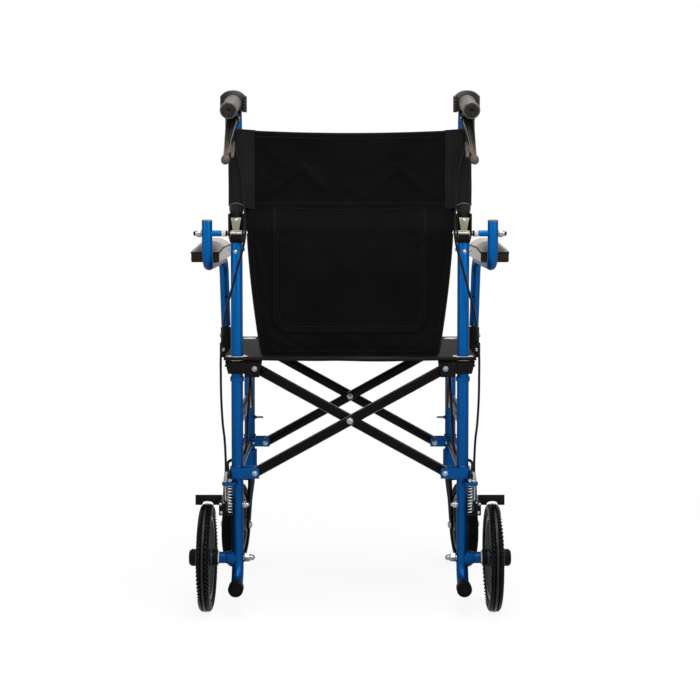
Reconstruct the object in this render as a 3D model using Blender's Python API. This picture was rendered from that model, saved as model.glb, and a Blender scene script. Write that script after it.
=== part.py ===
"""Folding wheelchair with cross braces, flip-up armrests, a half-fold back and cable brakes.

Metres, +Z up. The chair faces +Y and its left side is at -X. Each side is built by the same
functions, with side -1 or +1. Y values are measured from the rear posts' axis, and the empty
that carries the whole chair then sets the middle of its length over the origin.
"""

import math

import bmesh
import bpy
import numpy as np
from mathutils import Matrix, Vector

# Side frame
POST_X = 0.2095
POST_R = 0.011
FRONT_Y = 0.341
REAR_TOP_Z = 0.6982
FRONT_TOP_Z = 0.4455
FRONT_BOTTOM_Z = 0.207
TIP_Z = 0.0545
TIP_BEND_R = 0.040
TIP_END_Y = -0.058
UPPER_RAIL_Z = 0.355
LOWER_RAIL_Z = 0.262

# Cross braces: pivots at rest, and the arms' section.
PIVOT_X = 0.1762
PIVOT_LOW_Z = 0.2613
PIVOT_HIGH_Z = 0.4557
ARM_HEIGHT = 0.019
ARM_DEPTH = 0.0123
ARM_GAP = 0.0003
PIN_R = 0.004
PIN_HOLE_R = 0.0043
LUG_Y = 0.0173
COLLAR_R = 0.013
HOOK_Z = 0.304
SOCKET_BASE_Z = 0.4393

# Seat
SEAT_RAIL_Z = 0.457
SEAT_HALF_WIDTH = 0.2344
SEAT_REAR_Y = -0.0225
SEAT_FRONT_Y = 0.383
SEAT_TOP_Z = 0.4785
SEAT_THICKNESS = 0.0058

# Back hinge, shared by the back canes and the armrests
HINGE_Y = -0.012
HINGE_Z = 0.7055
CANE_BEND_R = 0.042
CANE_BEND_Z = 0.903
GRIP_DROOP = math.radians(10.5)
CANE_END_Y = -0.165
LEVER_Y = -0.057
LEVER_Z = 0.9150
ADJUSTER_X = 0.2010
LEVER_X = 0.2120
LATCH_FRONT_Y = -0.0120
LATCH_TOP_Z = 0.7342

# Back cloth
CLOTH = 0.003
SEAM_Z = 0.757
BACK_TOP_Z = 0.8965
BACK_TOP_DIP = 0.007
FOLD_LINE_GAP = 0.0005
FLAP_BOTTOM_Z = 0.4790
FLAP_WIDE_HALF = 0.190
FLAP_NARROWING = 0.027
FLAP_CORNER_R = 0.022
POCKET_HALF_WIDTH = 0.143
POCKET_TOP_Z = 0.7500
POCKET_BOTTOM_Z = 0.524
POCKET_CORNER_R = 0.034

# Armrest
ARMREST_X = 0.264
ARMREST_R = 0.0088
ARMREST_TOP_Z = 0.729
ARMREST_LOW_Z = 0.6455
LEG_X = 0.2575
LEG_BOTTOM_Z = 0.4435

# Wheels
WHEEL_X = 0.267
WHEEL_R = 0.100
TYRE_WIDTH = 0.021
CASTER_X = 0.232
CASTER_Y = 0.372
CASTER_R = 0.088
CASTER_TRAIL = 0.036
CASTER_YAW = math.radians(9)
CASTER_TYRE_WIDTH = 0.026
FORK_CROWN_Z = 0.210

# Wheel brake
BRAKE_PIVOT_X = 0.2300
BRAKE_PIVOT_Z = 0.200
BRAKE_CABLE_Y = -0.0215
CABLE_END_X = 0.2294
TAB_LOW_Z = 0.2396
TAB_HIGH_Z = 0.2459
SPRING_X = 0.2225
SPRING_LOW_Z = 0.1891
SPRING_HIGH_Z = 0.2393
SPRING_CURLS = 7

# How far the middle of the chair's length lies in front of the rear posts' axis
CHAIR_MIDDLE_Y = 0.1244

# Sides of a round shape. A bore keeps enough of them for its pin to turn inside it.
ROUND = 12
SMALL = 8
BORE = 12
WHEEL_ROUND = 24
CANE_BEND_STEPS = 5
TUBE_GAP = 0.0005

COLOURS = {
    "blue_paint": ((0.010, 0.080, 0.330), 0.30, 0.75),
    "black_plastic": ((0.012, 0.012, 0.013), 0.50, 0.0),
    "black_paint": ((0.010, 0.010, 0.011), 0.40, 0.6),
    "black_cloth": ((0.010, 0.010, 0.011), 0.95, 0.0),
    "grip_foam": ((0.045, 0.043, 0.040), 0.85, 0.0),
    "rubber": ((0.020, 0.020, 0.021), 0.85, 0.0),
    "grey_plastic": ((0.180, 0.190, 0.200), 0.55, 0.0),
    "zinc": ((0.560, 0.550, 0.520), 0.35, 1.0),
}


def clear_scene():
    for leftover in list(bpy.data.objects):
        bpy.data.objects.remove(leftover, do_unlink=True)


def material(name):
    found = bpy.data.materials.get(name)
    if found:
        return found
    colour, roughness, metallic = COLOURS[name]
    made = bpy.data.materials.new(name)
    made.use_nodes = True
    shader = made.node_tree.nodes["Principled BSDF"]
    shader.inputs["Base Color"].default_value = (*colour, 1.0)
    shader.inputs["Roughness"].default_value = roughness
    shader.inputs["Metallic"].default_value = metallic
    made.diffuse_color = (*colour, 1.0)
    return made


def working_solid(bm):
    """Turns a closed bmesh into an object with outward faces, for combine() to use up."""
    bmesh.ops.recalc_face_normals(bm, faces=bm.faces)
    mesh = bpy.data.meshes.new("solid")
    bm.to_mesh(mesh)
    bm.free()
    made = bpy.data.objects.new("solid", mesh)
    bpy.context.scene.collection.objects.link(made)
    return made


def loft(rings):
    """A skin over rings of equally many points, with flat ends."""
    bm = bmesh.new()
    loops = [[bm.verts.new(point) for point in ring] for ring in rings]
    count = len(loops[0])
    for low, high in zip(loops, loops[1:]):
        for i in range(count):
            j = (i + 1) % count
            bm.faces.new((low[i], low[j], high[j], high[i]))
    bm.faces.new(list(reversed(loops[0])))
    bm.faces.new(loops[-1])
    return working_solid(bm)


def frames_along(points):
    """A pair of crosswise directions at each point, carried along without twist."""
    points = [Vector(point) for point in points]
    tangents = []
    for i in range(len(points)):
        before = points[max(i - 1, 0)]
        after = points[min(i + 1, len(points) - 1)]
        tangents.append((after - before).normalized())
    start = Vector((0, 0, 1)) if abs(tangents[0].z) < 0.9 else Vector((1, 0, 0))
    across = (start - start.dot(tangents[0]) * tangents[0]).normalized()
    pairs = []
    for tangent in tangents:
        across = (across - across.dot(tangent) * tangent).normalized()
        pairs.append((across, tangent.cross(across)))
    return points, tangents, pairs


def sweep(points, radius, sides=ROUND):
    """A round bar along the points. Its rings are mitred at each bend."""
    points, tangents, pairs = frames_along(points)
    rings = []
    for i, (point, (across, up)) in enumerate(zip(points, pairs)):
        if 0 < i < len(points) - 1:
            before = (points[i] - points[i - 1]).normalized()
            half_cos = max(before.dot(tangents[i]), 0.5)
            bend = (points[i + 1] - points[i]).normalized() - before
        else:
            half_cos = 1.0
            bend = Vector((0, 0, 0))
        ring = []
        for k in range(sides):
            angle = 2 * math.pi * k / sides
            offset = radius * (math.cos(angle) * across + math.sin(angle) * up)
            if bend.length > 1e-6:
                inward = bend.normalized()
                offset += (1 / half_cos - 1) * offset.dot(inward) * inward
            ring.append(point + offset)
        rings.append(ring)
    return loft(rings)


def rod(start, end, radius, sides=ROUND):
    return sweep([start, end], radius, sides)


def block(low, high):
    """A box between two opposite corners, given in any order."""
    bm = bmesh.new()
    low, high = Vector(low), Vector(high)
    lower = Vector([min(a, b) for a, b in zip(low, high)])
    upper = Vector([max(a, b) for a, b in zip(low, high)])
    bmesh.ops.create_cube(bm, size=1.0)
    for vert in bm.verts:
        vert.co = Vector([l if c < 0 else u for c, l, u in zip(vert.co, lower, upper)])
    return working_solid(bm)


def prism(outline, axis, low, high):
    """An outline in the plane across the axis (0, 1 or 2), extruded from low to high."""
    others = [k for k in range(3) if k != axis]
    rings = []
    for level in (low, high):
        ring = []
        for u, v in outline:
            point = [0.0, 0.0, 0.0]
            point[axis] = level
            point[others[0]] = u
            point[others[1]] = v
            ring.append(point)
        rings.append(ring)
    return loft(rings)


def turned(profile, centre, direction, steps=ROUND):
    """A closed profile of (along, radius) pairs, turned about the direction through centre."""
    direction = Vector(direction).normalized()
    centre = Vector(centre)
    start = Vector((0, 0, 1)) if abs(direction.z) < 0.9 else Vector((0, 1, 0))
    across = (start - start.dot(direction) * direction).normalized()
    up = direction.cross(across)
    bm = bmesh.new()
    columns = []
    for along, radius in profile:
        if radius == 0:
            pole = bm.verts.new(centre + along * direction)
            columns.append([pole] * steps)
            continue
        column = []
        for k in range(steps):
            angle = 2 * math.pi * k / steps
            offset = radius * (math.cos(angle) * across + math.sin(angle) * up)
            column.append(bm.verts.new(centre + along * direction + offset))
        columns.append(column)
    for a, b in zip(columns, columns[1:] + columns[:1]):
        if a[0] is a[1] and b[0] is b[1]:
            continue
        for k in range(steps):
            j = (k + 1) % steps
            corners = []
            for vert in (a[k], a[j], b[j], b[k]):
                if vert not in corners:
                    corners.append(vert)
            bm.faces.new(corners)
    return working_solid(bm)


def arc(centre, radius, start, end, steps):
    """Points on an arc in a plane, from start to end in degrees."""
    angles = np.radians(np.linspace(start, end, steps + 1))
    return [(centre[0] + radius * math.cos(a), centre[1] + radius * math.sin(a)) for a in angles]


def filleted(corners, radius, steps=3):
    """A path through the corners, with each inner one rounded to the radius."""
    corners = [Vector(corner) for corner in corners]
    path = [corners[0]]
    for before, here, after in zip(corners, corners[1:], corners[2:]):
        back = (before - here).normalized()
        on = (after - here).normalized()
        half = back.angle(on) / 2
        reach = radius / math.tan(half)
        centre = here + (back + on).normalized() * radius / math.sin(half)
        first = here + back * reach - centre
        last = here + on * reach - centre
        turn = first.angle(last)
        axis = first.cross(last).normalized()
        for k in range(steps + 1):
            path.append(centre + Matrix.Rotation(turn * k / steps, 3, axis) @ first)
    path.append(corners[-1])
    return path


def smooth_route(knots, step):
    """A smooth curve through the knots, read at an even step."""
    knots = np.array(knots, float)
    ghosts = np.vstack([2 * knots[0] - knots[1], knots, 2 * knots[-1] - knots[-2]])
    fine = []
    for i in range(1, len(ghosts) - 2):
        a, b, c, d = ghosts[i - 1 : i + 3]
        for t in np.linspace(0, 1, 24, endpoint=False):
            square = (2 * a - 5 * b + 4 * c - d) * t**2
            cube = (3 * b - a - 3 * c + d) * t**3
            fine.append((2 * b + (c - a) * t + square + cube) / 2)
    fine = np.array(fine + [knots[-1]])
    lengths = np.concatenate([[0], np.cumsum(np.linalg.norm(np.diff(fine, axis=0), axis=1))])
    count = max(int(lengths[-1] / step), 2)
    targets = np.linspace(0, lengths[-1], count + 1)
    return [[float(np.interp(t, lengths, fine[:, k])) for k in range(3)] for t in targets]


def combine(name, solids, cuts, finish, smooth_angle=35):
    """Joins the solids into one closed body, takes the cuts away and names it."""
    body = solids[0]
    for operation, others in (("UNION", solids[1:]), ("DIFFERENCE", cuts)):
        for other in others:
            boolean = body.modifiers.new("shape", "BOOLEAN")
            boolean.operation = operation
            boolean.solver = "EXACT"
            boolean.object = other
    bpy.context.view_layer.update()
    graph = bpy.context.evaluated_depsgraph_get()
    mesh = bpy.data.meshes.new_from_object(body.evaluated_get(graph))
    for used in [*solids, *cuts]:
        bpy.data.objects.remove(used, do_unlink=True)
    made = bpy.data.objects.new(name, mesh)
    mesh.name = name
    mesh.materials.clear()
    mesh.materials.append(material(finish))
    mesh.shade_smooth()
    mesh.set_sharp_from_angle(angle=math.radians(smooth_angle))
    bpy.context.scene.collection.objects.link(made)
    return made


def cord(name, points, radius, bevel_resolution, finish):
    """A cable or wire: a round bevel along a polyline, with closed ends."""
    curve = bpy.data.curves.new(name, "CURVE")
    curve.dimensions = "3D"
    curve.bevel_depth = radius
    curve.bevel_resolution = bevel_resolution
    curve.use_fill_caps = True
    spline = curve.splines.new("POLY")
    spline.points.add(len(points) - 1)
    for point, place in zip(spline.points, points):
        point.co = (*place, 1.0)
    curve.materials.append(material(finish))
    made = bpy.data.objects.new(name, curve)
    bpy.context.scene.collection.objects.link(made)
    return made


def joint_empty(name, place, pieces):
    """An empty on a joint's axis that carries the pieces which move about it."""
    empty = bpy.data.objects.new(name, None)
    empty.empty_display_size = 0.02
    empty.location = place
    bpy.context.scene.collection.objects.link(empty)
    bpy.context.view_layer.update()
    for piece in pieces:
        piece.parent = empty
        piece.matrix_parent_inverse = empty.matrix_world.inverted()
    return empty


def side_name(piece, side):
    return f"{piece}_{'left' if side < 0 else 'right'}"


def clevis(side, y, outer, waist, inner, low, high):
    """A block with two lugs that reach inwards on either side of a brace arm."""
    lug = LUG_Y - 0.0043
    outline = [(side * outer, y - LUG_Y), (side * inner, y - LUG_Y), (side * inner, y - lug)]
    outline += [(side * waist, y - lug), (side * waist, y + lug), (side * inner, y + lug)]
    outline += [(side * inner, y + LUG_Y), (side * outer, y + LUG_Y)]
    return prism(outline, 2, low, high)


def brace_pin(side, y, z):
    end = Vector((0, LUG_Y + 0.003, 0))
    middle = Vector((side * PIVOT_X, y, z))
    return rod(middle - end, middle + end, PIN_R, SMALL)


def brace_bracket(side, y, inner, low, high):
    """Welded bracket on a post that holds the lower end of a brace arm on its pin."""
    return [clevis(side, y, 0.2225, 0.1965, inner, low, high), brace_pin(side, y, PIVOT_LOW_Z)]


def rear_post(side):
    """Rear tube of a side frame, with all that is welded to it."""
    x = side * POST_X
    path = filleted([(x, 0, REAR_TOP_Z), (x, 0, TIP_Z), (x, TIP_END_Y, TIP_Z)], TIP_BEND_R)
    solids = [sweep(path, POST_R)]
    solids += brace_bracket(side, 0.0, 0.1680, 0.2490, 0.2712)
    solids += [
        rod((x, 0, 0.431), (x, 0, 0.4396), COLLAR_R),
        rod((x, 0, 0.2705), (x, 0, 0.2765), COLLAR_R, SMALL),
        rod((x, 0.009, 0.6712), (x, -0.0135, 0.6712), 0.0028, SMALL),
    ]
    solids += rear_axle(side)
    solids += brake_mount(side)
    return combine(side_name("rear_post", side), solids, [], "blue_paint")


def rear_axle(side):
    """Stub that stands out from the post, the bolt through it and the nut inside."""
    return [
        rod((side * 0.2105, 0, WHEEL_R), (side * 0.246, 0, WHEEL_R), 0.0107, SMALL),
        rod((side * 0.2120, 0, WHEEL_R), (side * 0.2885, 0, WHEEL_R), 0.006, SMALL),
        rod((side * 0.2070, 0, WHEEL_R), (side * 0.179, 0, WHEEL_R), 0.0115, 6),
    ]


def brake_mount(side):
    """Pivot pin of the wheel brake with its nut, and the tab above with two cable ends."""
    nut_inner, nut_outer = side * 0.187, side * 0.2060
    pin_inner, pin_outer = side * 0.2130, side * 0.243
    cable_x = side * CABLE_END_X
    spring_x = side * SPRING_X
    return [
        rod((pin_inner, 0, BRAKE_PIVOT_Z), (pin_outer, 0, BRAKE_PIVOT_Z), PIN_R, SMALL),
        rod((nut_inner, 0, BRAKE_PIVOT_Z), (nut_outer, 0, BRAKE_PIVOT_Z), 0.0065, 6),
        block((side * 0.2368, -0.029, TAB_LOW_Z), (side * 0.207, -0.006, TAB_HIGH_Z)),
        rod((cable_x, BRAKE_CABLE_Y, 0.243), (cable_x, BRAKE_CABLE_Y, 0.2655), 0.0034, SMALL),
        rod((spring_x, BRAKE_CABLE_Y, 0.243), (spring_x, BRAKE_CABLE_Y, 0.2520), 0.0030, SMALL),
    ]


def front_post(side):
    """Front tube of a side frame, with the caster's barrel and the armrest's bracket."""
    x = side * POST_X
    barrel = (side * CASTER_X, CASTER_Y)
    hook_x = side * 0.1835
    solids = [rod((x, FRONT_Y, FRONT_BOTTOM_Z), (x, FRONT_Y, FRONT_TOP_Z), POST_R)]
    solids += brace_bracket(side, FRONT_Y, 0.1670, 0.2535, 0.2740)
    solids += [
        rod((x, FRONT_Y, 0.2067), (x, FRONT_Y, 0.235), 0.015),
        rod((x, FRONT_Y, 0.2735), (x, FRONT_Y, 0.277), COLLAR_R, SMALL),
        rod((x, FRONT_Y, HOOK_Z), (side * 0.181, FRONT_Y, HOOK_Z), 0.0025, SMALL),
        rod((hook_x, FRONT_Y, HOOK_Z), (hook_x, FRONT_Y, 0.311), 0.0024, SMALL),
        block((side * 0.267, FRONT_Y - 0.010, 0.4235), (side * 0.208, FRONT_Y + 0.008, SOCKET_BASE_Z)),
        rod((*barrel, 0.1885), (*barrel, 0.240), 0.015),
        block((side * 0.2335, FRONT_Y - 0.004, 0.2075), (side * 0.208, CASTER_Y, 0.2335)),
    ]
    bore = rod((*barrel, 0.180), (*barrel, 0.250), 0.0084)
    return combine(side_name("front_post", side), solids, [bore], "blue_paint")


def side_rail(side, upper):
    """A tube between the two posts. The upper one is coped to fit them."""
    x = side * POST_X
    if upper:
        solids = [rod((x, 0, UPPER_RAIL_Z), (x, FRONT_Y, UPPER_RAIL_Z), 0.010)]
        cuts = [
            rod((x, y, UPPER_RAIL_Z - 0.03), (x, y, UPPER_RAIL_Z + 0.03), POST_R + 0.0003)
            for y in (0, FRONT_Y)
        ]
        cuts.append(block((x - 0.02, -0.03, 0.32), (x + 0.02, 0, 0.39)))
        cuts.append(block((x - 0.02, FRONT_Y, 0.32), (x + 0.02, FRONT_Y + 0.03, 0.39)))
        return combine(side_name("upper_side_rail", side), solids, cuts, "blue_paint")
    gap = LUG_Y + 0.0003
    solids = [rod((x, gap, LOWER_RAIL_Z), (x, FRONT_Y - gap, LOWER_RAIL_Z), 0.008)]
    return combine(side_name("lower_side_rail", side), solids, [], "blue_paint")


def tip_cap(side):
    """Rubber cap on the end of the tipping tube."""
    inside = POST_R + TUBE_GAP
    profile = [(0.0, inside), (0.0, 0.0125), (0.002, 0.014), (0.019, 0.014)]
    profile += [(0.0225, 0.011), (0.0225, 0.0), (0.0188, 0.0), (0.0188, inside)]
    place = (side * POST_X, TIP_END_Y + 0.0185, TIP_Z)
    solid = turned(profile, place, (0, -1, 0), ROUND)
    return combine(side_name("tipping_tube_cap", side), [solid], [], "rubber")


def back_hinge(side):
    """Cup on the rear post's top, a knuckle and the long bolt that carries cane and armrest."""
    x = side * POST_X
    inside = POST_R + TUBE_GAP
    cup = [(0.0, inside), (0.0, 0.0128), (0.013, 0.0128), (0.013, 0.0), (0.0105, 0.0), (0.0105, inside)]
    knuckle_low, knuckle_high = side * 0.1992, side * 0.2198
    bolt = (HINGE_Y, HINGE_Z)
    solids = [
        turned(cup, (x, 0, 0.688), (0, 0, 1)),
        rod((knuckle_low, *bolt), (knuckle_high, *bolt), 0.0042, SMALL),
        block((x - 0.006, -0.0158, 0.6988), (x + 0.006, -0.006, 0.7055)),
        rod((side * 0.1925, *bolt), (side * 0.2800, *bolt), 0.003, SMALL),
        rod((side * 0.1903, *bolt), (side * 0.1940, *bolt), 0.0055, SMALL),
        rod((side * 0.2252, *bolt), (side * 0.2360, *bolt), 0.0056, SMALL),
        rod((side * 0.2737, *bolt), (side * 0.2885, *bolt), 0.0068, 6),
    ]
    return combine(side_name("back_hinge", side), solids, [], "black_plastic")


def cane_path(side):
    """Centre line of a back cane, up from the hinge and over into the handgrip."""
    x = side * POST_X
    path = [Vector((x, 0, 0.7108))]
    turn = math.pi / 2 + GRIP_DROOP
    for k in range(CANE_BEND_STEPS + 1):
        angle = turn * k / CANE_BEND_STEPS
        y = -CANE_BEND_R * (1 - math.cos(angle))
        z = CANE_BEND_Z + CANE_BEND_R * math.sin(angle)
        path.append(Vector((x, y, z)))
    path.append(path[-1] + grip_direction() * ((path[-1].y - CANE_END_Y) / math.cos(GRIP_DROOP)))
    return path


def grip_direction():
    return Vector((0, -math.cos(GRIP_DROOP), -math.sin(GRIP_DROOP)))


def on_grip(side, y):
    """The point of the cane's drooping end at the given y."""
    end = cane_path(side)[-1]
    return end - grip_direction() * ((y - end.y) / math.cos(GRIP_DROOP))


def back_cane(side):
    """Upper tube of the back, with the hinge's two side plates."""
    x = side * POST_X
    solids = [sweep(cane_path(side), POST_R)]
    outline = arc((HINGE_Y, HINGE_Z), 0.0055, 180, 300, 6)
    outline += [(0.009, 0.712), (0.009, 0.742), (-0.0125, 0.742)]
    for inner, outer in ((-0.0147, -0.0107), (0.0107, 0.0147)):
        plate = prism(outline, 0, x + inner, x + outer)
        solids.append(plate)
    hole = rod((x - 0.02, HINGE_Y, HINGE_Z), (x + 0.02, HINGE_Y, HINGE_Z), 0.0033, BORE)
    return combine(side_name("back_cane", side), solids, [hole], "blue_paint")


def back_latch(side):
    """Tapered latch plate on the rear of a cane's lower end."""
    x = side * POST_X
    outline = [(x - 0.0095, 0.7345), (x - 0.0047, 0.7112), (x + 0.0047, 0.7112), (x + 0.0095, 0.7345)]
    plate = prism(outline, 1, -0.0143, -0.0120)
    screw = rod((x, -0.0125, 0.7290), (x, -0.0163, 0.7290), 0.0032, SMALL)
    return combine(side_name("back_latch", side), [plate, screw], [], "zinc")


def handgrip(side):
    """Soft grip over the cane's end, with a small hole in its end."""
    inside = POST_R + TUBE_GAP
    start = on_grip(side, -0.0762)
    profile = [(0.0, inside), (0.0, 0.0150), (0.004, 0.0155), (0.010, 0.0140)]
    profile += [(0.088, 0.0140), (0.095, 0.0152), (0.0985, 0.0138), (0.0985, 0.0025), (0.0955, 0.0)]
    profile += [(0.0925, 0.0), (0.0925, inside)]
    solid = turned(profile, start, grip_direction(), ROUND)
    return combine(side_name("handgrip", side), [solid], [], "grip_foam")


def brake_clamp(side):
    """Arched clamp on the cane that carries the brake lever and its cable adjuster."""
    x = side * POST_X
    half = [(0.0232, 0.9262), (0.0232, 0.9525), (0.0205, 0.9545), (0.0150, 0.9594), (0.0075, 0.9624)]
    outline = [(x + u, z) for u, z in half] + [(x, 0.9632)] + [(x - u, z) for u, z in reversed(half)]
    adjuster_x = side * ADJUSTER_X
    cable_stop = [(side * 0.1945, -0.058, 0.930), (side * 0.1985, -0.044, 0.909), (adjuster_x, -0.030, 0.886)]
    solids = [
        prism(outline, 1, -0.0715, -0.0520),
        block((side * 0.1852, -0.0735, 0.9246), (side * 0.1930, -0.0530, 0.9535)),
    ]
    for inner, low in ((0.1998, 0.9080), (0.2222, 0.8920)):
        solids.append(block((side * inner, -0.0620, low), (side * (inner + 0.0021), -0.0530, 0.9300)))
    solids += [
        rod((side * 0.2005, LEVER_Y, LEVER_Z), (side * 0.2240, LEVER_Y, LEVER_Z), 0.0020, SMALL),
        sweep(cable_stop, 0.0028, SMALL),
        rod((adjuster_x, -0.031, 0.888), (adjuster_x, -0.0245, 0.864), 0.0040, SMALL),
    ]
    tube = rod(on_grip(side, -0.030), on_grip(side, -0.090), POST_R + TUBE_GAP)
    return combine(side_name("brake_clamp", side), solids, [tube], "black_plastic")


def lever_pivot(side):
    return (side * POST_X, LEVER_Y, LEVER_Z)


def brake_lever(side):
    """Lever that leans outwards down to a ball, with a lock tab inside, hung in the clamp's ears."""
    # x, y, z of the middle, half width, half thickness
    stations = [
        (0.2120, -0.0585, 0.9120, 0.0098, 0.0046),
        (0.2136, -0.0820, 0.8935, 0.0090, 0.0044),
        (0.2148, -0.1030, 0.8740, 0.0078, 0.0042),
        (0.2166, -0.1220, 0.8540, 0.0064, 0.0041),
        (0.2180, -0.1370, 0.8380, 0.0058, 0.0041),
    ]
    points = [Vector((side * x, y, z)) for x, y, z, _, _ in stations]
    rings = []
    for i, (point, (_, _, _, wide, thick)) in enumerate(zip(points, stations)):
        along = points[min(i + 1, len(points) - 1)] - points[max(i - 1, 0)]
        up = Vector((1, 0, 0)).cross(along).normalized()
        angles = [2 * math.pi * k / SMALL for k in range(SMALL)]
        rings.append([point + Vector((wide * math.cos(a), 0, 0)) + up * thick * math.sin(a) for a in angles])
    centre = Vector((side * LEVER_X, LEVER_Y, LEVER_Z))
    reach = Vector((0.0098, 0, 0))
    tab = [(-0.1060, 0.8680), (-0.1085, 0.8710), (-0.1360, 0.8440), (-0.1330, 0.8410)]
    solids = [
        rod(centre - reach, centre + reach, 0.0058, 12),
        loft(rings),
        turned(ball_profile(0.0079), points[-1], (0, 0, 1), SMALL),
        prism(tab, 0, *sorted((side * 0.2028, side * 0.2112))),
    ]
    hole = rod(centre - reach * 1.5, centre + reach * 1.5, 0.0023, BORE)
    return combine(side_name("brake_lever", side), solids, [hole], "grip_foam")


def ball_profile(radius):
    """Half a circle from pole to pole, for turned()."""
    angles = np.linspace(-math.pi / 2, math.pi / 2, 5)
    profile = [(radius * math.sin(a), radius * math.cos(a)) for a in angles]
    profile[0] = (-radius, 0)
    profile[-1] = (radius, 0)
    return profile


def slider_block(side, y, rear):
    """Black housing that carries a seat rail's end and the braces' upper pin."""
    x = side * POST_X
    solids = [clevis(side, y, 0.2355, 0.1895, 0.1635, 0.4398, 0.4702), brace_pin(side, y, PIVOT_HIGH_Z)]
    if rear:
        solids.append(rod((x, y, 0.4690), (x, y, 0.4795), 0.0200, ROUND))
        cut = rod((x, y, 0.42), (x, y, 0.50), POST_R + 0.0004)
        name = side_name("rear_seat_slider", side)
    else:
        solids.append(rod((x, y, 0.460), (x, y, 0.4790), 0.0140, ROUND))
        cut = rod((x, y, 0.42), (x, y, FRONT_TOP_Z + 0.0008), POST_R + 0.0005)
        name = side_name("front_seat_block", side)
    return combine(name, solids, [cut], "black_plastic")


def seat_rail(side):
    x = side * POST_X
    gap = LUG_Y + 0.0003
    solid = rod((x, gap, SEAT_RAIL_Z), (x, FRONT_Y - gap, SEAT_RAIL_Z), POST_R)
    return combine(side_name("seat_rail", side), [solid], [], "black_paint")


def brace_arm(name, start, end, y_low, y_high, bolt):
    """A flat bar with round ends and a hole at each pivot. The bolt joins it to its partner."""
    start, end = Vector(start), Vector(end)
    along = (end - start).normalized()
    upright = Vector((-along.y, along.x))
    half = ARM_HEIGHT / 2
    outline = []
    for centre, first in ((end, -90), (start, 90)):
        for angle in np.radians(np.linspace(first, first + 180, 9)):
            place = centre + half * (math.cos(angle) * along + math.sin(angle) * upright)
            outline.append((place.x, place.y))
    solids = [prism(outline, 1, y_low, y_high)]
    middle = (start + end) / 2
    holes = [start, end] if bolt else [start, end, middle]
    cuts = [
        rod((hole.x, y_low - 0.005, hole.y), (hole.x, y_high + 0.005, hole.y), PIN_HOLE_R, BORE)
        for hole in holes
    ]
    if bolt:
        head = y_low - ARM_DEPTH - 3 * ARM_GAP
        for low, high, radius, sides in (
            (head - 0.002, y_high + 0.004, PIN_R, SMALL),
            (head - 0.005, head, 0.0085, SMALL),
            (y_high - 0.001, y_high + 0.005, 0.0075, 6),
        ):
            solids.append(rod((middle.x, low, middle.y), (middle.x, high, middle.y), radius, sides))
    return combine(name, solids, cuts, "black_paint")


def brace_pair(place, y):
    """Two crossed arms in neighbouring planes, bolted at the middle."""
    low, high = PIVOT_LOW_Z, PIVOT_HIGH_Z
    arm_a = brace_arm(
        f"{place}_brace_arm_a",
        (-PIVOT_X, low),
        (PIVOT_X, high),
        y - ARM_GAP - ARM_DEPTH,
        y - ARM_GAP,
        False,
    )
    arm_b = brace_arm(
        f"{place}_brace_arm_b",
        (-PIVOT_X, high),
        (PIVOT_X, low),
        y + ARM_GAP,
        y + ARM_GAP + ARM_DEPTH,
        True,
    )
    return arm_a, arm_b


def sheet(centre_line, levels, place, thickness=CLOTH):
    """A closed cloth slab. place(point, level) gives the middle surface at each grid point."""
    rows = [[Vector(place(point, level)) for point in centre_line] for level in levels]
    bm = bmesh.new()
    front, back = [], []
    for i, row in enumerate(rows):
        front_row, back_row = [], []
        for j, here in enumerate(row):
            du = row[min(j + 1, len(row) - 1)] - row[max(j - 1, 0)]
            dv = rows[min(i + 1, len(rows) - 1)][j] - rows[max(i - 1, 0)][j]
            normal = du.cross(dv).normalized() * thickness / 2
            front_row.append(bm.verts.new(here + normal))
            back_row.append(bm.verts.new(here - normal))
        front.append(front_row)
        back.append(back_row)
    for i in range(len(rows) - 1):
        for j in range(len(rows[0]) - 1):
            bm.faces.new((front[i][j], front[i][j + 1], front[i + 1][j + 1], front[i + 1][j]))
            bm.faces.new((back[i][j], back[i + 1][j], back[i + 1][j + 1], back[i][j + 1]))
    border = [(0, j) for j in range(len(rows[0]))]
    border += [(i, len(rows[0]) - 1) for i in range(1, len(rows))]
    border += [(len(rows) - 1, j) for j in range(len(rows[0]) - 2, -1, -1)]
    border += [(i, 0) for i in range(len(rows) - 2, 0, -1)]
    for a, b in zip(border, border[1:] + border[:1]):
        bm.faces.new((front[a[0]][a[1]], back[a[0]][a[1]], back[b[0]][b[1]], front[b[0]][b[1]]))
    return working_solid(bm)


def back_section():
    """Plan of the back cloth at sleeve height: hem, round the cane, across, round, hem."""
    sleeve_r = POST_R + 0.0007 + CLOTH / 2
    left = [(-0.1860, -0.0050), (-0.1965, -0.0112)]
    left += arc((-POST_X, 0.0), sleeve_r, -70, -290, 6)
    left += [(-0.1960, 0.0100), (-0.1880, 0.0035), (-0.1780, 0.0)]
    inner = [(x, 0.0) for x in np.linspace(-0.150, 0.150, 9)]
    right = [(-x, y) for x, y in reversed(left)]
    return left + inner + right


def crease(x, z):
    """Soft wrinkles of the hanging cloth, nothing at its fixed edges."""
    fade = max(0.0, 1 - (x / 0.175) ** 2)
    wave = 0.0022 * math.sin(31 * x + 24 * z) + 0.0014 * math.sin(-47 * x + 35 * z + 1.0)
    return fade * wave


def fold_lean(z):
    """How far the cloth leans back from the canes' plane to the hinge line."""
    share = min(max((SEAM_Z - z) / (SEAM_Z - HINGE_Z), 0.0), 1.0)
    return HINGE_Y * share * share * (3 - 2 * share)


def corner_inset(rise, radius):
    """How far a round lower corner stands in, at a height above the cloth's lower edge."""
    return radius - math.sqrt(max(radius**2 - (radius - rise) ** 2, 0.0))


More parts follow.
